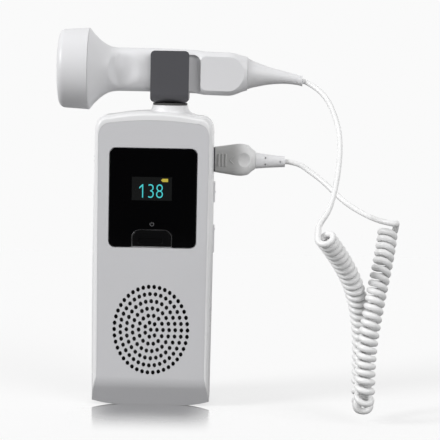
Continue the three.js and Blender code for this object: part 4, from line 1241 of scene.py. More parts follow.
@dataclass
class Window:
    """Polished black window, the lit display in it, the power key and its printed sign."""

    case: Case
    setback: float = 0.1 * MM
    button_x: float = -0.25 * MM
    button_width: float = 17.6 * MM
    button_height: float = 7.4 * MM
    button_corner: float = 3.4 * MM
    button_setback: float = 0.25 * MM
    groove_width: float = 11.2 * MM
    groove_height: float = 2.7 * MM
    groove_depth: float = 0.5 * MM
    groove_x: float = -0.9 * MM
    groove_rise: float = 1.2 * MM
    display_x: float = -0.5 * MM
    display_z: float = 99.7 * MM
    display_width: float = 18 * MM
    display_height: float = 10.5 * MM
    digits: str = "138"
    digits_low: float = 95.6 * MM
    digits_height: float = 6.15 * MM
    digits_width_share: float = 0.82  # width of the digits against the font's own
    digits_left: float = -4.85 * MM
    flag: tuple[float, float] = (1.25 * MM, 1.35 * MM)  # reach and fall of the first digit's flag
    flag_line: float = 0.75 * MM
    flag_overlap: float = 0.2 * MM
    thick_share: float = 0.01     # of the font's size, what the digits reach to the front and the back
    thin_share: float = -0.018    # of the font's size, what is taken off round each stroke
    film: float = 0.05 * MM       # thickness of what is lit or printed on the glass
    digits_lift: float = 0.03 * MM  # how far the middle of the digits stands off the display
    display_edge: float = 0.03 * MM
    lens_edge: float = 0.2 * MM
    icon_low: tuple[float, float] = (4.1 * MM, 102.85 * MM)
    icon_high: tuple[float, float] = (6.75 * MM, 104.3 * MM)
    icon_nub: float = 0.45 * MM
    sign_z: float = 83.7 * MM
    sign_radius: float = 0.85 * MM
    sign_line: float = 0.14 * MM
    sign_opening: float = math.radians(70)
    sign_steps: int = 24
    sign_shares: tuple[float, float] = (0.1, 1.15)  # ends of the bar, as shares of the ring's radius
    sign_flat_share: float = 0.3  # of its line, what the print is thick
    key_edge: float = 0.4 * MM
    groove_edge: float = 0.18 * MM

    @property
    def face(self) -> float:
        """Where the window's face lies along Y."""
        return self.case.front + self.setback

    def button_outline(self, grow: float) -> Pen:
        """Outline of the power key, whose lower corners are square.

        Args:
            grow: How much larger than the key it is all round.

        Returns:
            A pen that has drawn it.
        """
        low = self.case.window_low + GAP
        left = self.button_x - self.button_width / 2 - grow
        right = self.button_x + self.button_width / 2 + grow
        high = low + self.button_height + grow
        radius = self.button_corner + grow
        pen = Pen(left, low - grow).line(right, low - grow)
        pen.arc(right - radius, high - radius, radius, 0, math.pi / 2, 10)
        return pen.arc(left + radius, high - radius, radius, math.pi / 2, math.pi, 10)

    def build_lens(self) -> None:
        """Builds the window with the notch for the power key."""
        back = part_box("window_lens")[1].y
        lens = front_plate("black_window", self.case.window(0), self.face, back)
        carve(lens, front_plate("notch", self.button_outline(GAP), self.face - OVERRUN, 0))
        left = self.button_x - self.button_width / 2 - GAP
        right = self.button_x + self.button_width / 2 + GAP
        low = self.case.window_low
        carve(lens, block("mouth", at(left, self.face - OVERRUN, low - OVERRUN), at(right, 0, low + 2 * GAP)))
        soften(lens, self.lens_edge, 3)
        dress(smooth(lens), Finish.BLACK_PMMA, stands_for=["window_lens"])

    def build_display(self) -> None:
        """Builds the display's face and what is lit on it."""
        half = at(self.display_width / 2, 0, self.display_height / 2)
        middle = at(self.display_x, self.face, self.display_z)
        film = at(0, self.film, 0)
        glass = soften(block("display_face", middle - half - film, middle + half + film), self.display_edge)
        dress(smooth(glass), Finish.DISPLAY_GLASS)
        dress(join("display_digits", [self.digits_mesh(), self.flag_mesh()]), Finish.DIGITS)
        lit = self.face - 2 * self.film
        (left, bottom), (right, top) = self.icon_low, self.icon_high
        icon = block("display_battery_icon", at(left, lit, bottom), at(right, self.face, top))
        nub = block("nub", at(left - self.icon_nub, lit, bottom + self.icon_nub),
                    at(left + self.film, self.face, top - self.icon_nub))
        dress(carve(icon, nub, Cut.JOIN), Finish.BATTERY_ICON)

    def digits_mesh(self) -> Piece:
        """Sets the digits in the plain font, and brings them to their size and place.

        Returns:
            The digits.
        """
        bpy.ops.object.text_add()
        digits = bpy.context.object
        digits.name = "display_digits"
        digits.data.body = self.digits
        digits.data.extrude = self.thick_share
        digits.data.offset = self.thin_share
        pick(digits)
        bpy.ops.object.convert(target="MESH")
        digits = bpy.context.object
        scale = self.digits_height / digits.dimensions.y
        left = min(v.co.x for v in digits.data.vertices)
        base = min(v.co.y for v in digits.data.vertices)
        place = (self.digits_left, self.face - self.film - self.digits_lift, self.digits_low)
        for change in (Matrix.Translation((-left, -base, 0)),
                       Matrix.Diagonal((scale * self.digits_width_share, scale, scale, 1)),
                       Matrix.Rotation(math.pi / 2, 4, "X"), Matrix.Translation(place)):
            digits.data.transform(change)
        return digits

    def flag_mesh(self) -> Piece:
        """Builds the flag of the first digit, which the plain font doesn't have.

        Returns:
            The flag.
        """
        high = self.digits_low + self.digits_height
        right = self.digits_left + self.flag_overlap
        left = self.digits_left - self.flag[0]
        fallen = high - self.flag[1]
        pen = Pen(right, high).line(right, high - self.flag_line)
        pen.line(left, fallen - self.flag_line).line(left, fallen)
        return front_plate("flag", pen, self.face - 2 * self.film, self.face)

    def build_sign(self) -> None:
        """Builds the printed power sign above the key: an open ring with a bar."""
        ring = []
        sweep = 2 * math.pi - self.sign_opening
        for i in range(self.sign_steps + 1):
            angle = (math.pi + self.sign_opening) / 2 + sweep * i / self.sign_steps
            ring.append(at(self.sign_radius * math.cos(angle), 0, self.sign_radius * math.sin(angle)))
        stroke = [at(0, 0, share * self.sign_radius) for share in self.sign_shares]
        sign = join("power_sign", [tube("line", points, self.sign_line, 8) for points in (ring, stroke)])
        resize(sign, (1, self.sign_flat_share, 1))
        move(sign, at(self.button_x, self.face, self.sign_z))
        dress(smooth(sign, weighted=False), Finish.PRINTED_GREY)

    def build_key(self) -> None:
        """Builds the power key with its finger groove."""
        face = self.case.front + self.button_setback
        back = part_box("power_button")[1].y
        key = front_plate("power_key", self.button_outline(0), face, back)
        low = self.case.window_low + GAP + self.groove_rise
        left = self.groove_x - self.groove_width / 2
        soften(key, self.key_edge, 4, 60)
        right, high = left + self.groove_width, low + self.groove_height
        groove = rounded(left, low, right, high, self.groove_height / 3)
        carve(key, front_plate("groove", groove, face - OVERRUN, face + self.groove_depth))
        soften(key, self.groove_edge, 3, 40)
        dress(smooth(key), Finish.BLACK_KEY, "power_button", ["power_button"])

    def build(self) -> None:
        """Builds the window and all in it."""
        self.build_lens()
        self.build_display()
        self.build_sign()
        self.build_key()


@dataclass
class SideKeys:
    """Mode key, headphone cover and volume rocker, set in the sides of the case."""

    edge: float = 0.45 * MM
    fine_edge: float = 0.08 * MM
    rib: float = 0.35 * MM
    rib_half: float = 1.5 * MM
    flange_plate: float = 0.5 * MM
    flange_overlap: float = 0.1 * MM
    names: tuple[tuple[str, str], ...] = (
        ("mode_key", "mode_key_cap"), ("volume_rocker", "volume_rocker_cap"),
        ("port_cover", "headphone_cover"))
    mode_ribs: tuple[float, ...] = (0,)  # places of the ribs above and below the middle of their piece
    volume_ribs: tuple[float, ...] = (-10 * MM, -8 * MM, 8 * MM, 10 * MM)
    cover_ribs: tuple[float, ...] = (4.4 * MM,)

    def build(self) -> None:
        """Builds the three side pieces."""
        for (node, name), places in zip(self.names, (self.mode_ribs, self.volume_ribs, self.cover_ribs)):
            low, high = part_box(node)
            if node == "mode_key":
                rim = at(0, KEY_FLANGE, KEY_FLANGE)
                plate = block(name, low, at(low.x + self.flange_plate, high.y, high.z))
                cap = block("cap", low + rim + at(self.flange_overlap, 0, 0), high - rim)
                piece = carve(plate, soften(cap, self.edge, 3, 60), Cut.JOIN)
            else:
                piece = soften(block(name, low, high), self.edge, 3, 60)
            outer = high.x if high.x > 0 else low.x
            for place in places:
                z = (low.z + high.z) / 2 + place
                carve(piece, bar("rib", Along.Y, self.rib, at(outer, -self.rib_half, z),
                                 at(outer, self.rib_half, z), SMALL_ROUND), Cut.JOIN)
            soften(piece, self.fine_edge, 2, 50)
            dress(smooth(piece), Finish.WHITE_ABS, node, [node])


@dataclass
class Rear:
    """Battery door, case screws, cells, their springs and contacts."""

    case: Case
    fine_edge: float = 0.08 * MM
    door_edge: float = 0.3 * MM
    grip_lines: int = 5
    grip_pitch: float = 1.7 * MM
    grip_half: float = 4.5 * MM
    grip_radius: float = 0.35 * MM
    grip_sunk: float = 1 * MM
    thumb_drop: float = 9 * MM       # how far below the door's top the thumb recess lies
    thumb_off: float = 7.4 * MM      # how far behind the door its centre lies
    thumb_radii: Vector = field(default_factory=lambda: mm(9, 8.6, 6.5))
    screw_edge: float = 0.4 * MM
    shank: float = 1.1 * MM
    cross_long: float = 2.4 * MM
    cross_wide: float = 0.55 * MM
    cross_deep: float = 0.6 * MM
    cross_edge: float = 0.06 * MM
    cell_radius: float = 7.25 * MM
    cell_sides: int = 48
    cell_edge: float = 0.6 * MM
    end_radius: float = 4.4 * MM     # sunk middle of the flat end
    end_rise: float = 0.15 * MM
    end_step: float = 0.2 * MM
    shoulder_rise: float = 0.1 * MM
    nub_radius: float = 2.7 * MM
    nub_height: float = 1.3 * MM
    nub_edge: float = 0.3 * MM
    band: float = 1.2 * MM           # bare metal at the cell's ends
    wire: float = 0.3 * MM
    spring_turns: int = 3
    spring_steps: int = 24
    spring_narrows: float = 1.2 * MM

    def build_door(self) -> None:
        """Builds the battery door with a thumb recess and grip lines near its free edge."""
        low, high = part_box("battery_door")
        door = soften(block("battery_hatch", low, high), self.door_edge, 3, 60)
        middle = high.z - self.thumb_drop
        carve(door, ball("thumb", at(0, high.y + self.thumb_off, middle), self.thumb_radii))
        y = high.y - self.grip_sunk
        for i in range(self.grip_lines):
            z = middle + (i - (self.grip_lines - 1) / 2) * self.grip_pitch
            carve(door, bar("grip", Along.X, self.grip_radius, at(-self.grip_half, y, z),
                            at(self.grip_half, y, z), 12), Cut.JOIN)
        soften(door, self.fine_edge, 2, 50)
        dress(smooth(door), Finish.WHITE_ABS, "battery_door", ["battery_door"])

    def build_screws(self) -> None:
        """Builds one cross-head screw and copies it to the four wells."""
        seat = self.case.rear - self.case.screw_sunk
        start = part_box("case_screw_1")[0].y
        head = bar("case_screw_head_1", Along.Y, self.case.screw_head,
                   at(0, seat - self.case.screw_head_height, 0), at(0, seat, 0))
        soften(head, self.screw_edge, 3, 60)
        carve(head, bar("shank", Along.Y, self.shank, at(0, start, 0),
                        at(0, seat - self.case.screw_head_height / 2, 0), 20), Cut.JOIN)
        for wide, tall in ((self.cross_long, self.cross_wide), (self.cross_wide, self.cross_long)):
            carve(head, block("cross", at(-wide / 2, seat - self.cross_deep, -tall / 2),
                              at(wide / 2, seat + OVERRUN, tall / 2)))
        soften(head, self.cross_edge, 2, 50)
        smooth(head)
        heads = [head] + [twin(head, f"case_screw_head_{number}") for number in range(2, 5)]
        for number, piece in enumerate(heads, 1):
            low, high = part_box(f"case_screw_{number}")
            move(piece, at((low.x + high.x) / 2, 0, (low.z + high.z) / 2))
            dress(piece, Finish.STEEL, stands_for=[f"case_screw_{number}"])

    def cell_profile(self, length: float) -> list[tuple[float, float]]:
        """Radius and height of a cell's outline, from its flat end to its nub.

        Args:
            length: Length of the cell with its nub.

        Returns:
            The outline's points.
        """
        radius, edge, end = self.cell_radius, self.cell_edge, length - self.nub_height
        return [(self.end_radius, 0), (self.end_radius + self.end_step, self.end_rise),
                (radius - edge, self.shoulder_rise), (radius, edge), (radius, end - edge),
                (radius - edge, end - self.shoulder_rise), (self.nub_radius, end),
                (self.nub_radius, length - self.nub_edge), (self.nub_radius - self.nub_edge, length)]

    def build_cells(self) -> None:
        """Builds the two cells with their metal ends, each the way its CAD node stands."""
        around = [2 * math.pi * i / self.cell_sides for i in range(self.cell_sides)]
        for number, up in ((1, True), (2, False)):
            low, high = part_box(f"battery_{number}")
            middle = (low + high) / 2
            rings = []
            for r, along in self.cell_profile(high.z - low.z):
                z = low.z + along if up else high.z - along
                rings.append([at(middle.x + r * math.cos(a), middle.y + r * math.sin(a), z) for a in around])
            cell = smooth(loft(f"cell_{number}", rings))
            dress(cell, Finish.CELL_SLEEVE, stands_for=[f"battery_{number}"])
            lowest, highest = low.z + self.band, high.z - self.nub_height - self.band / 2
            second_finish(cell, Finish.NICKEL, lambda face, bottom=lowest, top=highest: (
                face.center.z < bottom or face.center.z > top))

    def build_springs(self) -> None:
        """Builds the two conical end springs."""
        count = self.spring_turns * self.spring_steps
        for number, up in ((1, True), (2, False)):
            low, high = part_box(f"battery_spring_{number}")
            middle = (low + high) / 2
            points = []
            for i in range(count + 1):
                radius = (high.x - low.x) / 2 - self.wire - i / count * self.spring_narrows
                angle = 2 * math.pi * i / self.spring_steps
                rise = self.wire + i / count * (high.z - low.z - 2 * self.wire)
                points.append(at(middle.x + radius * math.cos(angle), middle.y + radius * math.sin(angle),
                                 low.z + rise if up else high.z - rise))
            spring = smooth(tube(f"cell_spring_{number}", points, self.wire, 8), weighted=False)
            dress(spring, Finish.NICKEL, stands_for=[f"battery_spring_{number}"])

    def build(self) -> None:
        """Builds what the back of the case shows and holds."""
        self.build_door()
        self.build_screws()
        self.build_cells()
        self.build_springs()


@dataclass
class Holder:
    """Dark grey U clip on the neck, with a black pad under it that paints the shade of the gap."""

    case: Case
    x: float = 6.45 * MM
    width: float = 17.3 * MM
    low: float = 138.3 * MM
    high: float = 161.6 * MM
    web_top: float = 142.5 * MM
    half_gap: float = 7.5 * MM
    arm: float = 2.2 * MM
    top_corner: float = 1.9 * MM
    foot_corner: float = 4 * MM
    edge: float = 0.45 * MM
    channel_corner: float = 1.2 * MM
    stem: float = 3 * MM
    pad_joint: float = 0.8 * GAP  # how much of the clearance under the pad it fills
    pad_edge: float = 0.15 * MM

    def build_clip(self) -> None:
        """Builds the clip."""
        left, right = self.x - self.width / 2, self.x + self.width / 2
        half = self.half_gap + self.arm
        foot = half - self.foot_corner
        top = self.high + OVERRUN
        clip = front_plate("holder_u_clip", rounded(left, self.low, right, self.high, self.top_corner),
                           -half, half)
        pen = Pen(-foot, self.low).line(foot, self.low)
        pen.arc(foot, self.low + self.foot_corner, self.foot_corner, -math.pi / 2, 0, 10)
        pen.line(half, top).line(-half, top)
        pen.arc(-foot, self.low + self.foot_corner, self.foot_corner, math.pi, 1.5 * math.pi, 10)
        carve(clip, side_plate("side", pen, left - OVERRUN, right + OVERRUN), Cut.KEEP)
        channel = rounded(-self.half_gap, self.web_top, self.half_gap, self.high + 3 * OVERRUN,
                          self.channel_corner)
        carve(clip, side_plate("channel", channel, left - OVERRUN, right + OVERRUN))
        soften(clip, self.edge, 3, 50)
        stem_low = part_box("holder_clip")[0].z
        carve(clip, bar("stem", Along.Z, self.stem, at(self.case.neck_x, 0, stem_low),
                        at(self.case.neck_x, 0, self.low + self.foot_corner)), Cut.JOIN)
        dress(smooth(clip), Finish.DARK_ABS, stands_for=["holder_clip"])

    def build_pad(self) -> None:
        """Builds the black pad between the neck and the clip: it fills the dark gap under the clip with
        painted shade.
        """
        low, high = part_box("clip_seat_pad")
        low.z -= self.pad_joint
        radii = (high - low) / 2
        pad = bar("neck_pad_painted_shade", Along.Z, 1.0, at(0, 0, -0.5), at(0, 0, 0.5), ROUND)
        resize(pad, (radii.x, radii.y, high.z - low.z))
        move(pad, (low + high) / 2)
        carve(pad, bar("stem_hole", Along.Z, self.stem + GAP, at(self.case.neck_x, 0, low.z - OVERRUN),
                       at(self.case.neck_x, 0, high.z + OVERRUN)))
        soften(pad, self.pad_edge, 2, 50)
        # The pad's black is painted shade of the gap under the clip
        dress(smooth(pad), Finish.BLACK_RUBBER, stands_for=["clip_seat_pad"])

    def build(self) -> None:
        """Builds the clip and its pad."""
        self.build_clip()
        self.build_pad()


@dataclass
class Probe:
    """Ultrasound probe: round head, cone, grip with a saddle for the clip, and a bent strain relief."""

    axis_z: float = 152.8 * MM
    head_face: float = -44 * MM
    head_rear: float = -30.2 * MM
    head_radius: float = 18.5 * MM
    head_front_radius: float = 17.9 * MM
    head_edge: float = 3.2 * MM
    head_steps: int = 8            # lines across that edge
    head_dome: float = 0.5 * MM
    dome_shares: tuple[float, ...] = (0.3, 0.6, 0.85)  # its rings, as shares of the face's radius
    sheet: float = 1.8 * MM
    rim_edge: float = 0.25 * MM
    start: float = -29.9 * MM
    end: float = 41.5 * MM
    neck: float = -19.4 * MM       # the cone ends here
    half_height: float = 9.85 * MM
    half_depth: float = 8.9 * MM
    barrel_depth: float = 9.7 * MM  # half depth of the barrel before its flats are cut
    taper: float = 33 * MM
    end_half: float = 7.6 * MM
    drop: float = 0.9 * MM         # how far the grip's end hangs below its axis
    grip_steps: int = 6            # sections from one station to the next
    sides: int = 96
    grip_edge: float = 0.35 * MM
    cone_shares: tuple[tuple[float, float], ...] = (
        (0, 0.977), (0.12, 0.757), (0.28, 0.549), (0.45, 0.364), (0.62, 0.214), (0.8, 0.098), (1, 0.029))
    # Place, half depth, squareness and share of the drop of the sections round the saddle
    saddle_rows: tuple[tuple[float, ...], ...] = (
        (-16.4 * MM, 9.65 * MM, 2.1, 0), (-14 * MM, 9.1 * MM, 2.3, 0), (-10 * MM, 8.4 * MM, 2.5, 0),
        (-4 * MM, 7.2 * MM, 3, 0), (17.6 * MM, 7.2 * MM, 3, 0.5), (22.8 * MM, 9.7 * MM, 3, 1.2))
    # Place, height, depth, squareness and drop of the sections down to the end
    end_shares: tuple[tuple[float, ...], ...] = (
        (0, 1, 1, 3, 1.4), (0.25, 0.85, 0.92, 3, 1.4), (0.5, 0.55, 0.61, 2.9, 1.3),
        (0.75, 0.25, 0.19, 2.7, 1.1), (1, 0, 0, 2.2, 1))
    boot_length: float = 24.7 * MM
    boot_sag: float = 3.85 * MM
    boot_half: float = 7.1 * MM
    boot_end_half: float = 2.25 * MM
    # Place, sag and thickness of the boot's sections
    boot_shares: tuple[tuple[float, float, float], ...] = (
        (0, 0.234, 1), (0.073, 0.286, 0.82), (0.178, 0.351, 0.64), (0.381, 0.442, 0.37), (0.632, 0.584, 0.15),
        (0.818, 0.753, 0.052), (1, 1, 0))
    boot_sides: int = 40
    boot_edge: float = 0.12 * MM
    collar: float = 0.16 * MM      # how far the boot's tip stands out in a collar
    collar_length: float = 1.5 * MM
    collar_ramp: float = 0.1 * MM
    joint: float = 0.22 * MM       # how much of the clearance behind the head the cone's rim fills
    scoop_x: float = -16.4 * MM
    scoop_depth: float = 2.4 * MM
    scoop_rise: float = 0.2 * MM
    scoop_reach: tuple[float, float, float] = (5.2 * MM, 9.6 * MM, 8.6 * MM)  # to the left, to the right, up
    flat: float = 7.85 * MM        # how far the flats stand from the axis
    flat_start: float = 15.6 * MM
    pocket_start: float = 2 * MM
    pocket_end: float = 20.3 * MM
    pocket_depth: float = 4.7 * MM
    pocket_top: float = 7.1 * MM
    pocket_corner: float = 3.4 * MM

    def build_head(self) -> None:
        """Builds the head, whose faintly domed face lies inside a low rim."""
        centre = (0.0, self.axis_z)
        flat = self.head_front_radius - self.head_edge
        rings = [oval(self.head_face + self.head_dome * share**2, centre, share * flat, share * flat, 2)
                 for share in self.dome_shares]
        for i in range(self.head_steps + 1):
            angle = math.pi / 2 * i / self.head_steps
            radius = flat + self.head_edge * math.sin(angle)
            x = self.head_face + self.head_edge * (1 - math.cos(angle))
            rings.append(oval(x, centre, radius, radius, 2))
        rings.append(oval(self.head_rear, centre, self.head_radius, self.head_radius, 2))
        head = loft("probe_head", rings)
        inner = self.head_front_radius - self.sheet - GAP
        carve(head, bar("inside", Along.X, inner, at(self.head_face + self.sheet, 0, self.axis_z),
                        at(self.head_rear + OVERRUN, 0, self.axis_z), ROUND))
        soften(head, self.rim_edge, 3, 50)
        dress(smooth(head), Finish.WHITE_ABS, "probe", ["probe_head_cap"])

    def grip_stations(self) -> list[tuple[float, ...]]:
        """Lists the sections that shape the grip.

        Returns:
            Place, half height, half depth, squareness and drop of each.
        """
        rows = []
        for along, share in self.cone_shares:
            radius = self.half_height + share * (self.head_radius - self.half_height)
            x = self.start + along * (self.neck - self.start) - (0 if along else self.joint)
            rows.append((x, radius, radius, 2.0, 0.0))
        for x, deep, power, sag in self.saddle_rows:
            rows.append((x, self.half_height, deep, power, sag * self.drop))
        for along, tall, deep, power, sag in self.end_shares:
            rows.append((self.taper + along * (self.end - self.taper),
                         self.end_half + tall * (self.half_height - self.end_half),
                         self.end_half + deep * (self.barrel_depth - self.end_half), power, sag * self.drop))
        return rows

    def pressed(self, point: Vector) -> Vector:
        """Presses the thumb scoop into the grip's skin, in front and behind.

        Args:
            point: A point of the skin.

        Returns:
            Where it lies then.
        """
        left, right, up = self.scoop_reach
        along = point.x - self.scoop_x
        along /= right if along > 0 else left
        rise = (point.z - self.axis_z - self.scoop_rise) / up
        depth = self.scoop_depth * eased(max(0.0, 1 - along**2 - rise**2))
        return at(point.x, point.y - math.copysign(min(depth, abs(point.y)), point.y), point.z)

    def build_grip(self) -> None:
        """Builds the cone and the grip, with a thumb scoop and the pockets that the clip holds it by."""
        rings = [oval(x, (0.0, self.axis_z - drop), depth, height, power, self.sides)
                 for x, height, depth, power, drop in run_through(self.grip_stations(), self.grip_steps)]
        grip = loft("probe_grip", [[self.pressed(point) for point in ring] for ring in rings])
        reach = 2 * self.half_height
        pocket = rounded(self.pocket_start, self.axis_z - reach, self.pocket_end,
                         self.axis_z + self.pocket_top, self.pocket_corner)
        for side in (-1, 1):
            low, high = sorted((side * self.flat, side * 2 * self.half_depth))
            carve(grip, block("flat", at(self.flat_start, low, self.axis_z - reach),
                              at(self.end + OVERRUN, high, self.axis_z + reach)))
            low, high = sorted((side * self.pocket_depth, side * 2 * self.half_depth))
            carve(grip, front_plate("pocket", pocket, low, high))
        soften(grip, self.grip_edge, 3, 22)
        dress(smooth(grip), Finish.WHITE_ABS, "probe", ["probe_handle"])

    def build_boot(self) -> None:
        """Builds the strain relief, bent down by the cord, with a collar at its tip."""
        rows = []
        for along, drop, thick in self.boot_shares:
            half = self.boot_end_half + thick * (self.boot_half - self.boot_end_half)
            x = self.end + GAP + along * self.boot_length - (0 if along else self.joint)
            rows.append((x, self.axis_z - drop * self.boot_sag, half))
        rings = [oval(x, (0.0, z), half, half, 2, self.boot_sides)
                 for x, z, half in run_through(rows, 4)[:-1]]
        before, tip = rows[-2:]
        slope = (tip[1] - before[1]) / (tip[0] - before[0])
        for back, swell in ((self.collar_length, 0), (self.collar_length - self.collar_ramp, self.collar),
                            (0, self.collar)):
            half = tip[2] + swell
            rings.append(oval(tip[0] - back, (0.0, tip[1] - slope * back), half, half, 2, self.boot_sides))
        boot = loft("probe_strain_relief", sorted(rings, key=lambda ring: ring[0].x))
        soften(boot, self.boot_edge, 2, 50)
        dress(smooth(boot), Finish.BOOT_PVC, "probe", ["probe_boot"])

    def cord_start(self) -> tuple[Vector, Vector]:
        """Finds where the cord leaves the strain relief.

        Returns:
            The place, and the way in which the cord leaves.
        """
        before, last = self.boot_shares[-2:]
        way = at((last[0] - before[0]) * self.boot_length, 0, (before[1] - last[1]) * self.boot_sag)
        tip = at(self.end + GAP + self.boot_length, 0, self.axis_z - self.boot_sag)
        return tip, way.normalized()

    def build(self) -> None:
        """Builds the probe."""
        self.build_head()
        self.build_grip()
        self.build_boot()


@dataclass
class Plug:
    """Overmoulded plug with grip ribs, a thumb dimple and a short strain relief."""

    z: float = 112.6 * MM
    gap_shade_ring: float = 0.25 * MM     # dark ring that fills most of the clearance to the case: painted shade of the gap
    half_depth: float = 4.8 * MM
    tail_depth: float = 3.5 * MM
    # Share of the length, half height, half depth and squareness of the body's sections
    sections: tuple[tuple[float, ...], ...] = (
        (0, 5.7 * MM, 4.3 * MM, 5), (0.3, 6.55 * MM, 4.7 * MM, 4.2), (0.62, 7.3 * MM, half_depth, 3.4),
        (0.8, 6.8 * MM, half_depth, 3), (0.9, 5.3 * MM, 4.4 * MM, 2.7), (1, 3.95 * MM, tail_depth, 2.4))
    edge: float = 0.25 * MM
    fine_edge: float = 0.12 * MM
    boot_half: float = 3.7 * MM
    boot_end_half: float = 2.45 * MM
    boot_joint: float = 0.22 * MM  # how much of the clearance behind the body the boot fills
    boot_drop: tuple[float, float] = (0.2 * MM, 0.5 * MM)  # how far the boot hangs at its start and its end
    rib_places: tuple[float, ...] = (29.3 * MM, 30.9 * MM, 32.4 * MM)
    rib_half: float = 2.8 * MM
    rib_radius: float = 0.5 * MM
    rib_sunk: float = 0.12 * MM
    arrow_x: float = 34.2 * MM
    arrow_reach: float = 1.7 * MM
    arrow_line: float = 0.3 * MM
    dimple: Vector = field(default_factory=lambda: mm(40.9, -7.4, 112.8))  # middle of what presses it
    dimple_radii: Vector = field(default_factory=lambda: mm(4.2, 3.6, 4.9))
    dots: tuple[tuple[float, float], ...] = (
        (50.5 * MM, 113.8 * MM), (50.4 * MM, 110.9 * MM), (57.2 * MM, 112.1 * MM))
    dot_radius: float = 0.38 * MM
    dot_reach: tuple[float, float] = (-6 * MM, 0.5 * MM)  # from in front of the boot to past its middle

    def build_shell(self) -> None:
        """Builds the plug's body."""
        low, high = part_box("plug_shell")
        length = high.x - low.x
        rows = [(low.x + share * length, *rest) for share, *rest in self.sections]
        rows[0] = (low.x - self.gap_shade_ring, *rows[0][1:])
        body = loft("plug_body", [oval(x, (0.0, self.z), depth, height, power)
                                  for x, height, depth, power in run_through(rows, 6)])
        soften(body, self.edge, 3, 50)
        face = self.rib_sunk - self.half_depth
        for x in self.rib_places:
            carve(body, bar("rib", Along.Z, self.rib_radius, at(x, face, self.z - self.rib_half),
                            at(x, face, self.z + self.rib_half), SMALL_ROUND), Cut.JOIN)
        tip = at(self.arrow_x, -self.half_depth, self.z)
        for side in (1, -1):
            tail = tip + at(self.arrow_reach, 0, side * self.arrow_reach)
            carve(body, tube("arrow", [tip, tail], self.arrow_line, 8), Cut.JOIN)
        carve(body, ball("dimple", self.dimple, self.dimple_radii))
        soften(body, self.fine_edge, 2, 30)
        # The plug's finish paints shade: grey at the case end, turning white towards the cord
        dress(smooth(body), Finish.PLUG_PVC, "plug", ["plug_shell"])
        # The nose in the clearance to the case is dark grey: painted shade of the gap
        second_finish(body, Finish.DARK_ABS, lambda face: face.center.x < low.x + self.gap_shade_ring)

    def build_boot(self) -> None:
        """Builds the strain relief with its flex holes."""
        low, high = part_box("plug_boot")
        rows = [(low.x - self.boot_joint, self.boot_half, self.tail_depth, 2.6, self.boot_drop[0]),
                (high.x, self.boot_end_half, self.boot_end_half, 2.0, self.boot_drop[1])]
        boot = loft("plug_strain_relief", [oval(x, (0.0, self.z - drop), depth, height, power, 40)
                                           for x, height, depth, power, drop in run_through(rows, 8)])
        for x, z in self.dots:
            near, far = [at(x, y, z) for y in self.dot_reach]
            carve(boot, bar("dot", Along.Y, self.dot_radius, near, far, SMALL_ROUND))
        soften(boot, self.fine_edge, 2, 50)
        dress(smooth(boot), Finish.BOOT_PVC, "plug", ["plug_boot"])

    def cord_start(self) -> tuple[Vector, Vector]:
        """The place where the cord leaves the strain relief, and the way in which it leaves."""
        return at(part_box("plug_boot")[1].x, 0, self.z - self.boot_drop[1]), at(1, 0, 0)

    def build(self) -> None:
        """Builds the plug."""
        self.build_shell()
        self.build_boot()


def spline_through(points: Sequence[Vector], steps: int = 40) -> list[Vector]:
    """Points on a smooth line through points, denser where these are close (a centripetal spline).

    Args:
        points: What the line passes through.
        steps: How many points each stretch gets.

    Returns:
        The line's points.
    """
    first = points[0] * 2 - points[1]
    last = points[-1] * 2 - points[-2]
    padded = [first, *points, last]
    line = [points[0].copy()]
    for k in range(1, len(padded) - 2):
        p = padded[k - 1:k + 3]
        knots = [0.0]
        for a, b in zip(p, p[1:]):
            knots.append(knots[-1] + math.sqrt((b - a).length))
        for i in range(1, steps + 1):
            t = knots[1] + (knots[2] - knots[1]) * i / steps
            level = list(p)
            for depth in (1, 2, 3):
                fresh = []
                for j in range(4 - depth):
                    low, high = (knots[1], knots[2]) if depth == 3 else (knots[j], knots[j + depth])
                    fresh.append(level[j].lerp(level[j + 1], (t - low) / (high - low)))
                level = fresh
            line.append(level[0])
    return line


def even(line: Sequence[Vector], step: float) -> list[Vector]:
    """Spaces points evenly along a line, with both its ends.

    Args:
        line: The line's points.
        step: About how far apart the new ones lie.

    Returns:
        The new points.
    """
    lengths = [0.0]
    for a, b in zip(line, line[1:]):
        lengths.append(lengths[-1] + (b - a).length)
    count = max(2, round(lengths[-1] / step))
    points, index = [], 0
    for i in range(count + 1):
        wanted = lengths[-1] * i / count
        while index < len(line) - 2 and lengths[index + 1] < wanted:
            index += 1
        gap = lengths[index + 1] - lengths[index]
        points.append(line[index].lerp(line[index + 1], (wanted - lengths[index]) / gap if gap else 0.0))
    return points


def length_of(line: Sequence[Vector]) -> float:
    """Length of a line of points."""
    return sum((b - a).length for a, b in zip(line, line[1:]))


RIGHT_LEG = [mm(*p) for p in (
    (104.6, -31.6, 85.2), (103.6, -35.2, 78.6), (101.8, -40, 69.9), (99.2, -44.3, 57.5),
    (96.9, -47.3, 45), (95.6, -48.3, 35.5), (95, -48.5, 26), (95, -48.5, 18))]
LEFT_LEG = [mm(*p) for p in (
    (95, -28.5, 18), (95, -28.7, 26), (94.2, -31.4, 40.2), (91.9, -36.3, 53), (88.4, -42.2, 63.4),
    (82.6, -50.4, 73.9), (75.3, -60.9, 84.2))]
PLUG_LEAD = [mm(*p) for p in (
    (66.3, -1, 110.8), (70.5, -3, 108.2), (76.5, -7.2, 104), (81.3, -11.4, 99.8), (86, -16.4, 95.8),
    (90.6, -22.5, 93), (95.5, -29.5, 90.8), (100, -35.2, 89.4), (104, -38.3, 88.7), (107, -38.2, 88.2))]
PROBE_LEAD = [mm(*p) for p in (
    (74.4, -4, 144.6), (78.6, -9.4, 139.2), (81.2, -16, 132.6), (82.4, -21.4, 127.6),
    (82.8, -27, 121.6), (82.4, -32.4, 115.6), (81.4, -38.6, 108.8), (79.6, -46, 101.2), (77, -53, 94.6))]


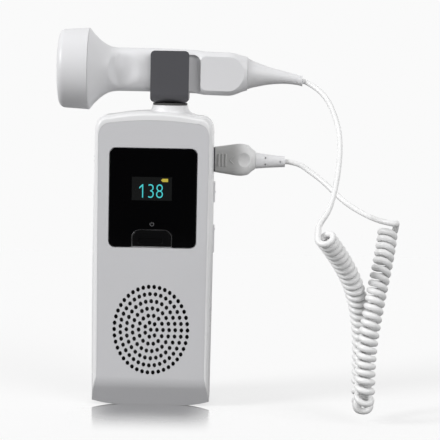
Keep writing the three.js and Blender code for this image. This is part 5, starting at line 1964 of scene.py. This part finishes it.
@dataclass
class Cord:
    """One cord: a lead from the plug, one long loop of curls that hangs free, and a lead up to the probe."""

    radius: float = 1.4 * MM
    curl_radius: float = 3.2 * MM
    pitch: float = 3.34 * MM
    bend_radius: float = 10 * MM  # of the loop's lowest stretch
    bend_points: int = 5
    bend_reach: float = 3 * MM    # how far either way of a place its bend is measured
    spacing: float = 0.08 * MM    # from sample to sample on the middle line of the curls
    axis_steps: int = 60          # spline steps between two points of the legs, and of a lead
    lead_steps: int = 24
    steps: int = 24               # points in each curl
    sides: int = 16
    lead_spacing: float = 0.8 * MM
    lead_share: float = 0.86      # the stretched leads are a little thinner than the wound cord
    lead_turn: int = 16           # steps over which a lead grows to the full thickness

    def axis(self) -> list[Vector]:
        """Draws the middle line of the curls: down the right leg, round the bend, up the left leg.

        Returns:
            Its points.
        """
        start, end = RIGHT_LEG[-1], LEFT_LEG[0]
        centre = (start + end) / 2
        across = (end - start).normalized()
        bend = []
        for i in range(1, self.bend_points + 1):
            angle = math.pi * i / (self.bend_points + 1)
            bend.append(centre - across * self.bend_radius * math.cos(angle)
                        - at(0, 0, self.bend_radius * math.sin(angle)))
        return even(spline_through([*RIGHT_LEG, *bend, *LEFT_LEG], self.axis_steps), self.spacing)

    def curls(self) -> list[Vector]:
        """Draws the middle line of the cord in its curls, straight for one diameter at each end.

        Returns:
            Its points.
        """
        axis = self.axis()
        last = len(axis) - 1
        length = length_of(axis)
        tangents = [(axis[min(i + 1, last)] - axis[max(i - 1, 0)]).normalized() for i in range(last + 1)]
        normal = at(1, 0, 0)
        frames = []
        for place, tangent in zip(axis, tangents):
            normal = (normal - tangent * normal.dot(tangent)).normalized()
            frames.append((place, normal, tangent.cross(normal)))
        reach = max(1, round(self.bend_reach / length * last))
        turns = [0.0]
        for i in range(1, last + 1):
            a, b = max(i - reach, 0), min(i + reach, last)
            bend = tangents[a].angle(tangents[b], 0.0) / ((b - a) / last * length)
            turns.append(turns[-1] + (1 - (self.curl_radius + GAP) * bend) * length / last / self.pitch)
        away = PROBE_LEAD[-1] - axis[-1]
        radial = -away.cross(tangents[-1]).normalized()
        wanted = -math.atan2(radial.dot(frames[-1][2]), radial.dot(frames[-1][1])) / (2 * math.pi)
        count = round(turns[-1] - wanted) + wanted
        turns = [turn * count / turns[-1] for turn in turns]
        points, index = [], 0
        total = round(count * self.steps)
        for i in range(total + 1):
            turn = count * i / total
            while index < last - 1 and turns[index + 1] < turn:
                index += 1
            share = min(max((turn - turns[index]) / (turns[index + 1] - turns[index]), 0.0), 1.0)
            place, normal, side = frames[index]
            place = place.lerp(frames[index + 1][0], share)
            angle = -2 * math.pi * turn
            points.append(place + (normal * math.cos(angle) + side * math.sin(angle)) * self.curl_radius)
        log.info("cord: %.1f curls", count)
        return [*self.straight(*points[:3])[::-1], *points, *self.straight(*points[:-4:-1])]

    def straight(self, a: Vector, b: Vector, c: Vector) -> list[Vector]:
        """Runs the line that passes c, b and a, the curls' last point, straight on for one diameter."""
        way = (a * 3 - b * 4 + c).normalized()
        return [a + way * self.radius * share for share in (2 / 3, 4 / 3, 2)]

    def lead(self, start: Vector, start_way: Vector, route: Sequence[Vector], end: Vector,
             end_way: Vector) -> list[Vector]:
        """Middle line of a lead between two ends, square to both.

        Args:
            start: Where it leaves its strain relief.
            start_way: The way it leaves in.
            route: Points that it passes.
            end: Where the curls begin.
            end_way: The way in which the cord runs on there.

        Returns:
            Its points, a short step apart.
        """
        r = self.radius
        line = [start, start + start_way * r, *route, end - end_way * 2 * r, end - end_way * r, end]
        return even(spline_through(line, self.lead_steps), self.lead_spacing)

    def build(self) -> None:
        """Builds the cord as two meshes that meet at the lowest point of the loop."""
        curls = self.curls()
        inward = [(curls[1] - curls[0]).normalized(), (curls[-2] - curls[-1]).normalized()]
        plug_lead = self.lead(*Plug().cord_start(), PLUG_LEAD, curls[0], inward[0])
        probe_lead = self.lead(*Probe().cord_start(), PROBE_LEAD, curls[-1], inward[1])
        lowest = min(range(len(curls)), key=lambda i: curls[i].z)
        first = [*plug_lead[:-1], *curls[:lowest + 1]]
        second = [*probe_lead[:-1], *curls[:lowest - 1:-1]]
        for name, line, free, body, top, low, nodes in (
                ("cord_from_plug", first, len(plug_lead), "plug", RIGHT_LEG[0], RIGHT_LEG[-1],
                 ["plug_lead", "curly_cord"]),
                ("cord_from_probe", second, len(probe_lead), "probe", LEFT_LEG[-1], LEFT_LEG[0],
                 ["probe_lead"])):
            grown = [min(max((i - free) / self.lead_turn + 1, 0.0), 1.0) for i in range(len(line))]
            shares = [self.lead_share + (1 - self.lead_share) * eased(share) for share in grown]
            piece = smooth(tube(name, line, self.radius, self.sides, shares), weighted=False)
            dress(piece, Finish.CORD_PVC, None, nodes)
            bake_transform(piece)
            log.info("%s: %.0f mm", name, length_of(line) / MM)


@dataclass
class Inside:
    """Finishes for the CAD nodes that stay: boards, speaker, contacts, switches and crystals."""

    finishes: tuple[tuple[Finish, tuple[str, ...]], ...] = (
        (Finish.BLACK_NYLON, ("display_module", "speaker_frame", "mode_switch", "volume_switch_up",
                              "volume_switch_down", "headphone_jack")),
        (Finish.STEEL, ("power_switch", "speaker_magnet", "clip_screw")),
        (Finish.BOARD, ("main_board", "probe_board")),
        (Finish.BLACK_RUBBER, ("speaker_cone", "transducer_backing")),
        (Finish.NICKEL, ("battery_contact_lower", "battery_contact_upper")),
        (Finish.DARK_ABS, ("probe_socket", "plug_insert")),
        (Finish.CERAMIC, tuple(f"transducer_disc_{number}" for number in range(7))),
    )

    def build(self) -> None:
        """Dresses the nodes that stay."""
        for finish, names in self.finishes:
            for name in names:
                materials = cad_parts[name].data.materials
                materials.clear()
                materials.append(finish.material())
                log.info("%s: %s", name, finish.value.name)


@dataclass(frozen=True)
class Lamp:
    """A far, wide and soft lamp that lights the whole floor evenly."""

    name: str
    azimuth: float    # degrees round from the front, to the right
    elevation: float  # degrees above the floor
    strength: float
    spread: float     # its width seen from the object, in degrees

    def build(self, aim: Vector) -> None:
        """Hangs the lamp.

        Args:
            aim: What it shines at.
        """
        data = bpy.data.lights.new(self.name, "SUN")
        data.energy = self.strength
        data.angle = math.radians(self.spread)
        lamp = bpy.data.objects.new(self.name, data)
        a, e = math.radians(self.azimuth), math.radians(self.elevation)
        towards = at(math.sin(a) * math.cos(e), -math.cos(a) * math.cos(e), math.sin(e))
        lamp.location = aim + towards
        lamp.rotation_euler = towards.to_track_quat("Z", "Y").to_euler()
        bpy.context.scene.collection.objects.link(lamp)


@dataclass
class Studio:
    """Camera, pale floor and plain soft light."""

    lens: float = 145.45
    sensor: float = 36
    near: float = 10 * MM
    far: float = 20000 * MM
    azimuth: float = math.radians(0.5)
    elevation: float = math.radians(5.5)
    roll: float = math.radians(1.1)
    distance: float = 800 * MM
    aim: Vector = field(default_factory=lambda: mm(30.402, -15.2, 86.224))
    white: str = "#fafafa"
    floor_half: float = 600 * MM
    floor_share: float = 0.3      # of the floor's white, what takes shadow
    mirror_roughness: float = 0.1
    mirror_start: float = -18 * MM
    mirror_end: float = -72 * MM  # the mirroring has faded out here, in front of the foot
    mirror_thin_share: float = 0.45  # how much weaker it is at the foot's corners
    mirror_half: tuple[float, float] = (27 * MM, 37 * MM)  # beside the foot it fades out between these
    contact: tuple[float, float] = (-8.8 * MM, -7 * MM)  # the mirroring sets in between these, at the toe
    contact_half: float = 13 * MM  # beyond this half width the foot rises off the floor
    contact_run: float = 13.8 * MM
    contact_fall: float = 10.3 * MM  # and the mirror image sets in this much further forward at its corners
    underlight: str = "#8c8c8c"   # how bright the floor is for what it lights from below
    sky: float = 0.47             # what the sky gives to matt surfaces
    dark_side: float = 0.02       # how bright the unlit side of the studio looks in gloss
    dark_range: tuple[float, float] = (-0.1, 0.7)  # cosines from the front between which it darkens
    lamps: tuple[Lamp, ...] = (Lamp("key_lamp", -62, 27, 2.05, 20), Lamp("fill_lamp", 45, 29, 1.1, 40))

    def build_camera(self) -> None:
        """Sets the camera where the photograph was taken from."""
        back = at(math.sin(self.azimuth) * math.cos(self.elevation),
                  -math.cos(self.azimuth) * math.cos(self.elevation), math.sin(self.elevation))
        right = at(math.cos(self.azimuth), math.sin(self.azimuth), 0)
        up = back.cross(right)
        rolled = right * math.cos(self.roll) + up * math.sin(self.roll)
        raised = up * math.cos(self.roll) - right * math.sin(self.roll)
        data = bpy.data.cameras.new("camera")
        data.lens = self.lens
        data.sensor_width = self.sensor
        data.clip_start = self.near
        data.clip_end = self.far
        camera = bpy.data.objects.new("camera", data)
        place = self.aim + back * self.distance
        camera.matrix_world = Matrix((
            (rolled.x, raised.x, back.x, place.x), (rolled.y, raised.y, back.y, place.y),
            (rolled.z, raised.z, back.z, place.z), (0, 0, 0, 1)))
        bpy.context.scene.collection.objects.link(camera)
        bpy.context.scene.camera = camera

    def mirror(self, tree: Tree) -> Socket:
        """Works out how strongly the floor mirrors the object at each place.

        Args:
            tree: The floor's node tree.

        Returns:
            The share of the mirroring.
        """
        place = add_node(tree, "ShaderNodeTexCoord").outputs["Object"]
        split = add_node(tree, "ShaderNodeSeparateXYZ", {0: place})
        share = between(tree, split.outputs["Y"], self.mirror_end, self.mirror_start)
        side = worked_out(tree, "ABSOLUTE", split.outputs["X"])
        risen = between(tree, side, self.contact_half, self.contact_half + self.contact_run, soft=False)
        curved = worked_out(tree, "POWER", risen, 2.0)
        moved = worked_out(tree, "MULTIPLY_ADD", curved, self.contact_fall, split.outputs["Y"])
        for factor in (between(tree, moved, *self.contact, 1.0, 0.0),
                       worked_out(tree, "MULTIPLY_ADD", curved, -self.mirror_thin_share, 1.0),
                       between(tree, side, *self.mirror_half, 1.0, 0.0)):
            share = worked_out(tree, "MULTIPLY", share, factor)
        return share

    def build_floor(self) -> None:
        """Lays the pale floor, which keeps the object's shadow and a faint reflection."""
        bpy.ops.mesh.primitive_plane_add(size=2 * self.floor_half)
        floor = bpy.context.object
        floor.name = "floor"
        material, tree = new_material("studio_floor")
        seen = add_node(tree, "ShaderNodeLightPath")
        white = linear(self.white)
        rising = sum(lamp.strength * math.sin(math.radians(lamp.elevation)) for lamp in self.lamps)
        lit = self.sky * white[0] + rising / math.pi
        shaded = tuple(channel * self.floor_share for channel in white[:3])
        base = add_node(tree, "ShaderNodeBsdfDiffuse", {"Color": (*shaded, 1)})
        glow = add_node(tree, "ShaderNodeEmission", {"Color": white, "Strength": 1 - self.floor_share * lit})
        both = add_node(tree, "ShaderNodeAddShader", {0: base.outputs[0], 1: glow.outputs[0]})
        gloss = add_node(tree, "ShaderNodeBsdfGlossy", {"Color": (1, 1, 1, 1),
                                                        "Roughness": self.mirror_roughness})
        glazed = add_node(tree, "ShaderNodeMixShader", {0: self.mirror(tree), 1: both.outputs[0],
                                                        2: gloss.outputs[0]})
        plain = add_node(tree, "ShaderNodeBsdfDiffuse", {"Color": linear(self.underlight)})
        mixed = add_node(tree, "ShaderNodeMixShader", {0: seen.outputs["Is Camera Ray"], 1: plain.outputs[0],
                                                       2: glazed.outputs[0]})
        end_with(tree, mixed)
        floor.data.materials.append(material)

    def build_world(self) -> None:
        """Sets an even sky; the camera, metal and glass see white, with one unlit side in front."""
        world = bpy.data.worlds.new("studio")
        bpy.context.scene.world = world
        world.use_nodes = True
        tree = world.node_tree
        tree.nodes.clear()
        seen = add_node(tree, "ShaderNodeLightPath")
        way = add_node(tree, "ShaderNodeTexCoord").outputs["Generated"]
        front = add_node(tree, "ShaderNodeVectorMath", {0: way, 1: (0, -1, 0)}, operation="DOT_PRODUCT")
        shine = between(tree, front.outputs["Value"], *self.dark_range, 1.0, self.dark_side)
        plain = add_node(tree, "ShaderNodeMix", {0: seen.outputs["Is Glossy Ray"], 2: self.sky, 3: shine})
        open_way = worked_out(tree, "MAXIMUM", seen.outputs["Is Camera Ray"],
                              seen.outputs["Is Transmission Ray"])
        level = add_node(tree, "ShaderNodeMix", {0: open_way, 2: plain.outputs[0], 3: 1.0})
        sky = add_node(tree, "ShaderNodeBackground", {"Color": linear(self.white),
                                                      "Strength": level.outputs[0]})
        add_node(tree, "ShaderNodeOutputWorld", {"Surface": sky.outputs[0]})

    def build(self) -> None:
        """Builds the studio."""
        self.build_camera()
        self.build_floor()
        self.build_world()
        for lamp in self.lamps:
            lamp.build(self.aim)
        bpy.context.scene.view_settings.view_transform = "Standard"


def main() -> None:
    """Builds every part of the monitor and the studio round it."""
    logging.basicConfig(level=logging.INFO, format="%(name)s: %(message)s")
    Studio().build()
    case = Case()
    for part in (case, Window(case), SideKeys(), Rear(case), Holder(case), Probe(), Plug(), Cord(), Inside()):
        part.build()
        log.info("%s is done", type(part).__name__)


if __name__ == "__main__":
    main()
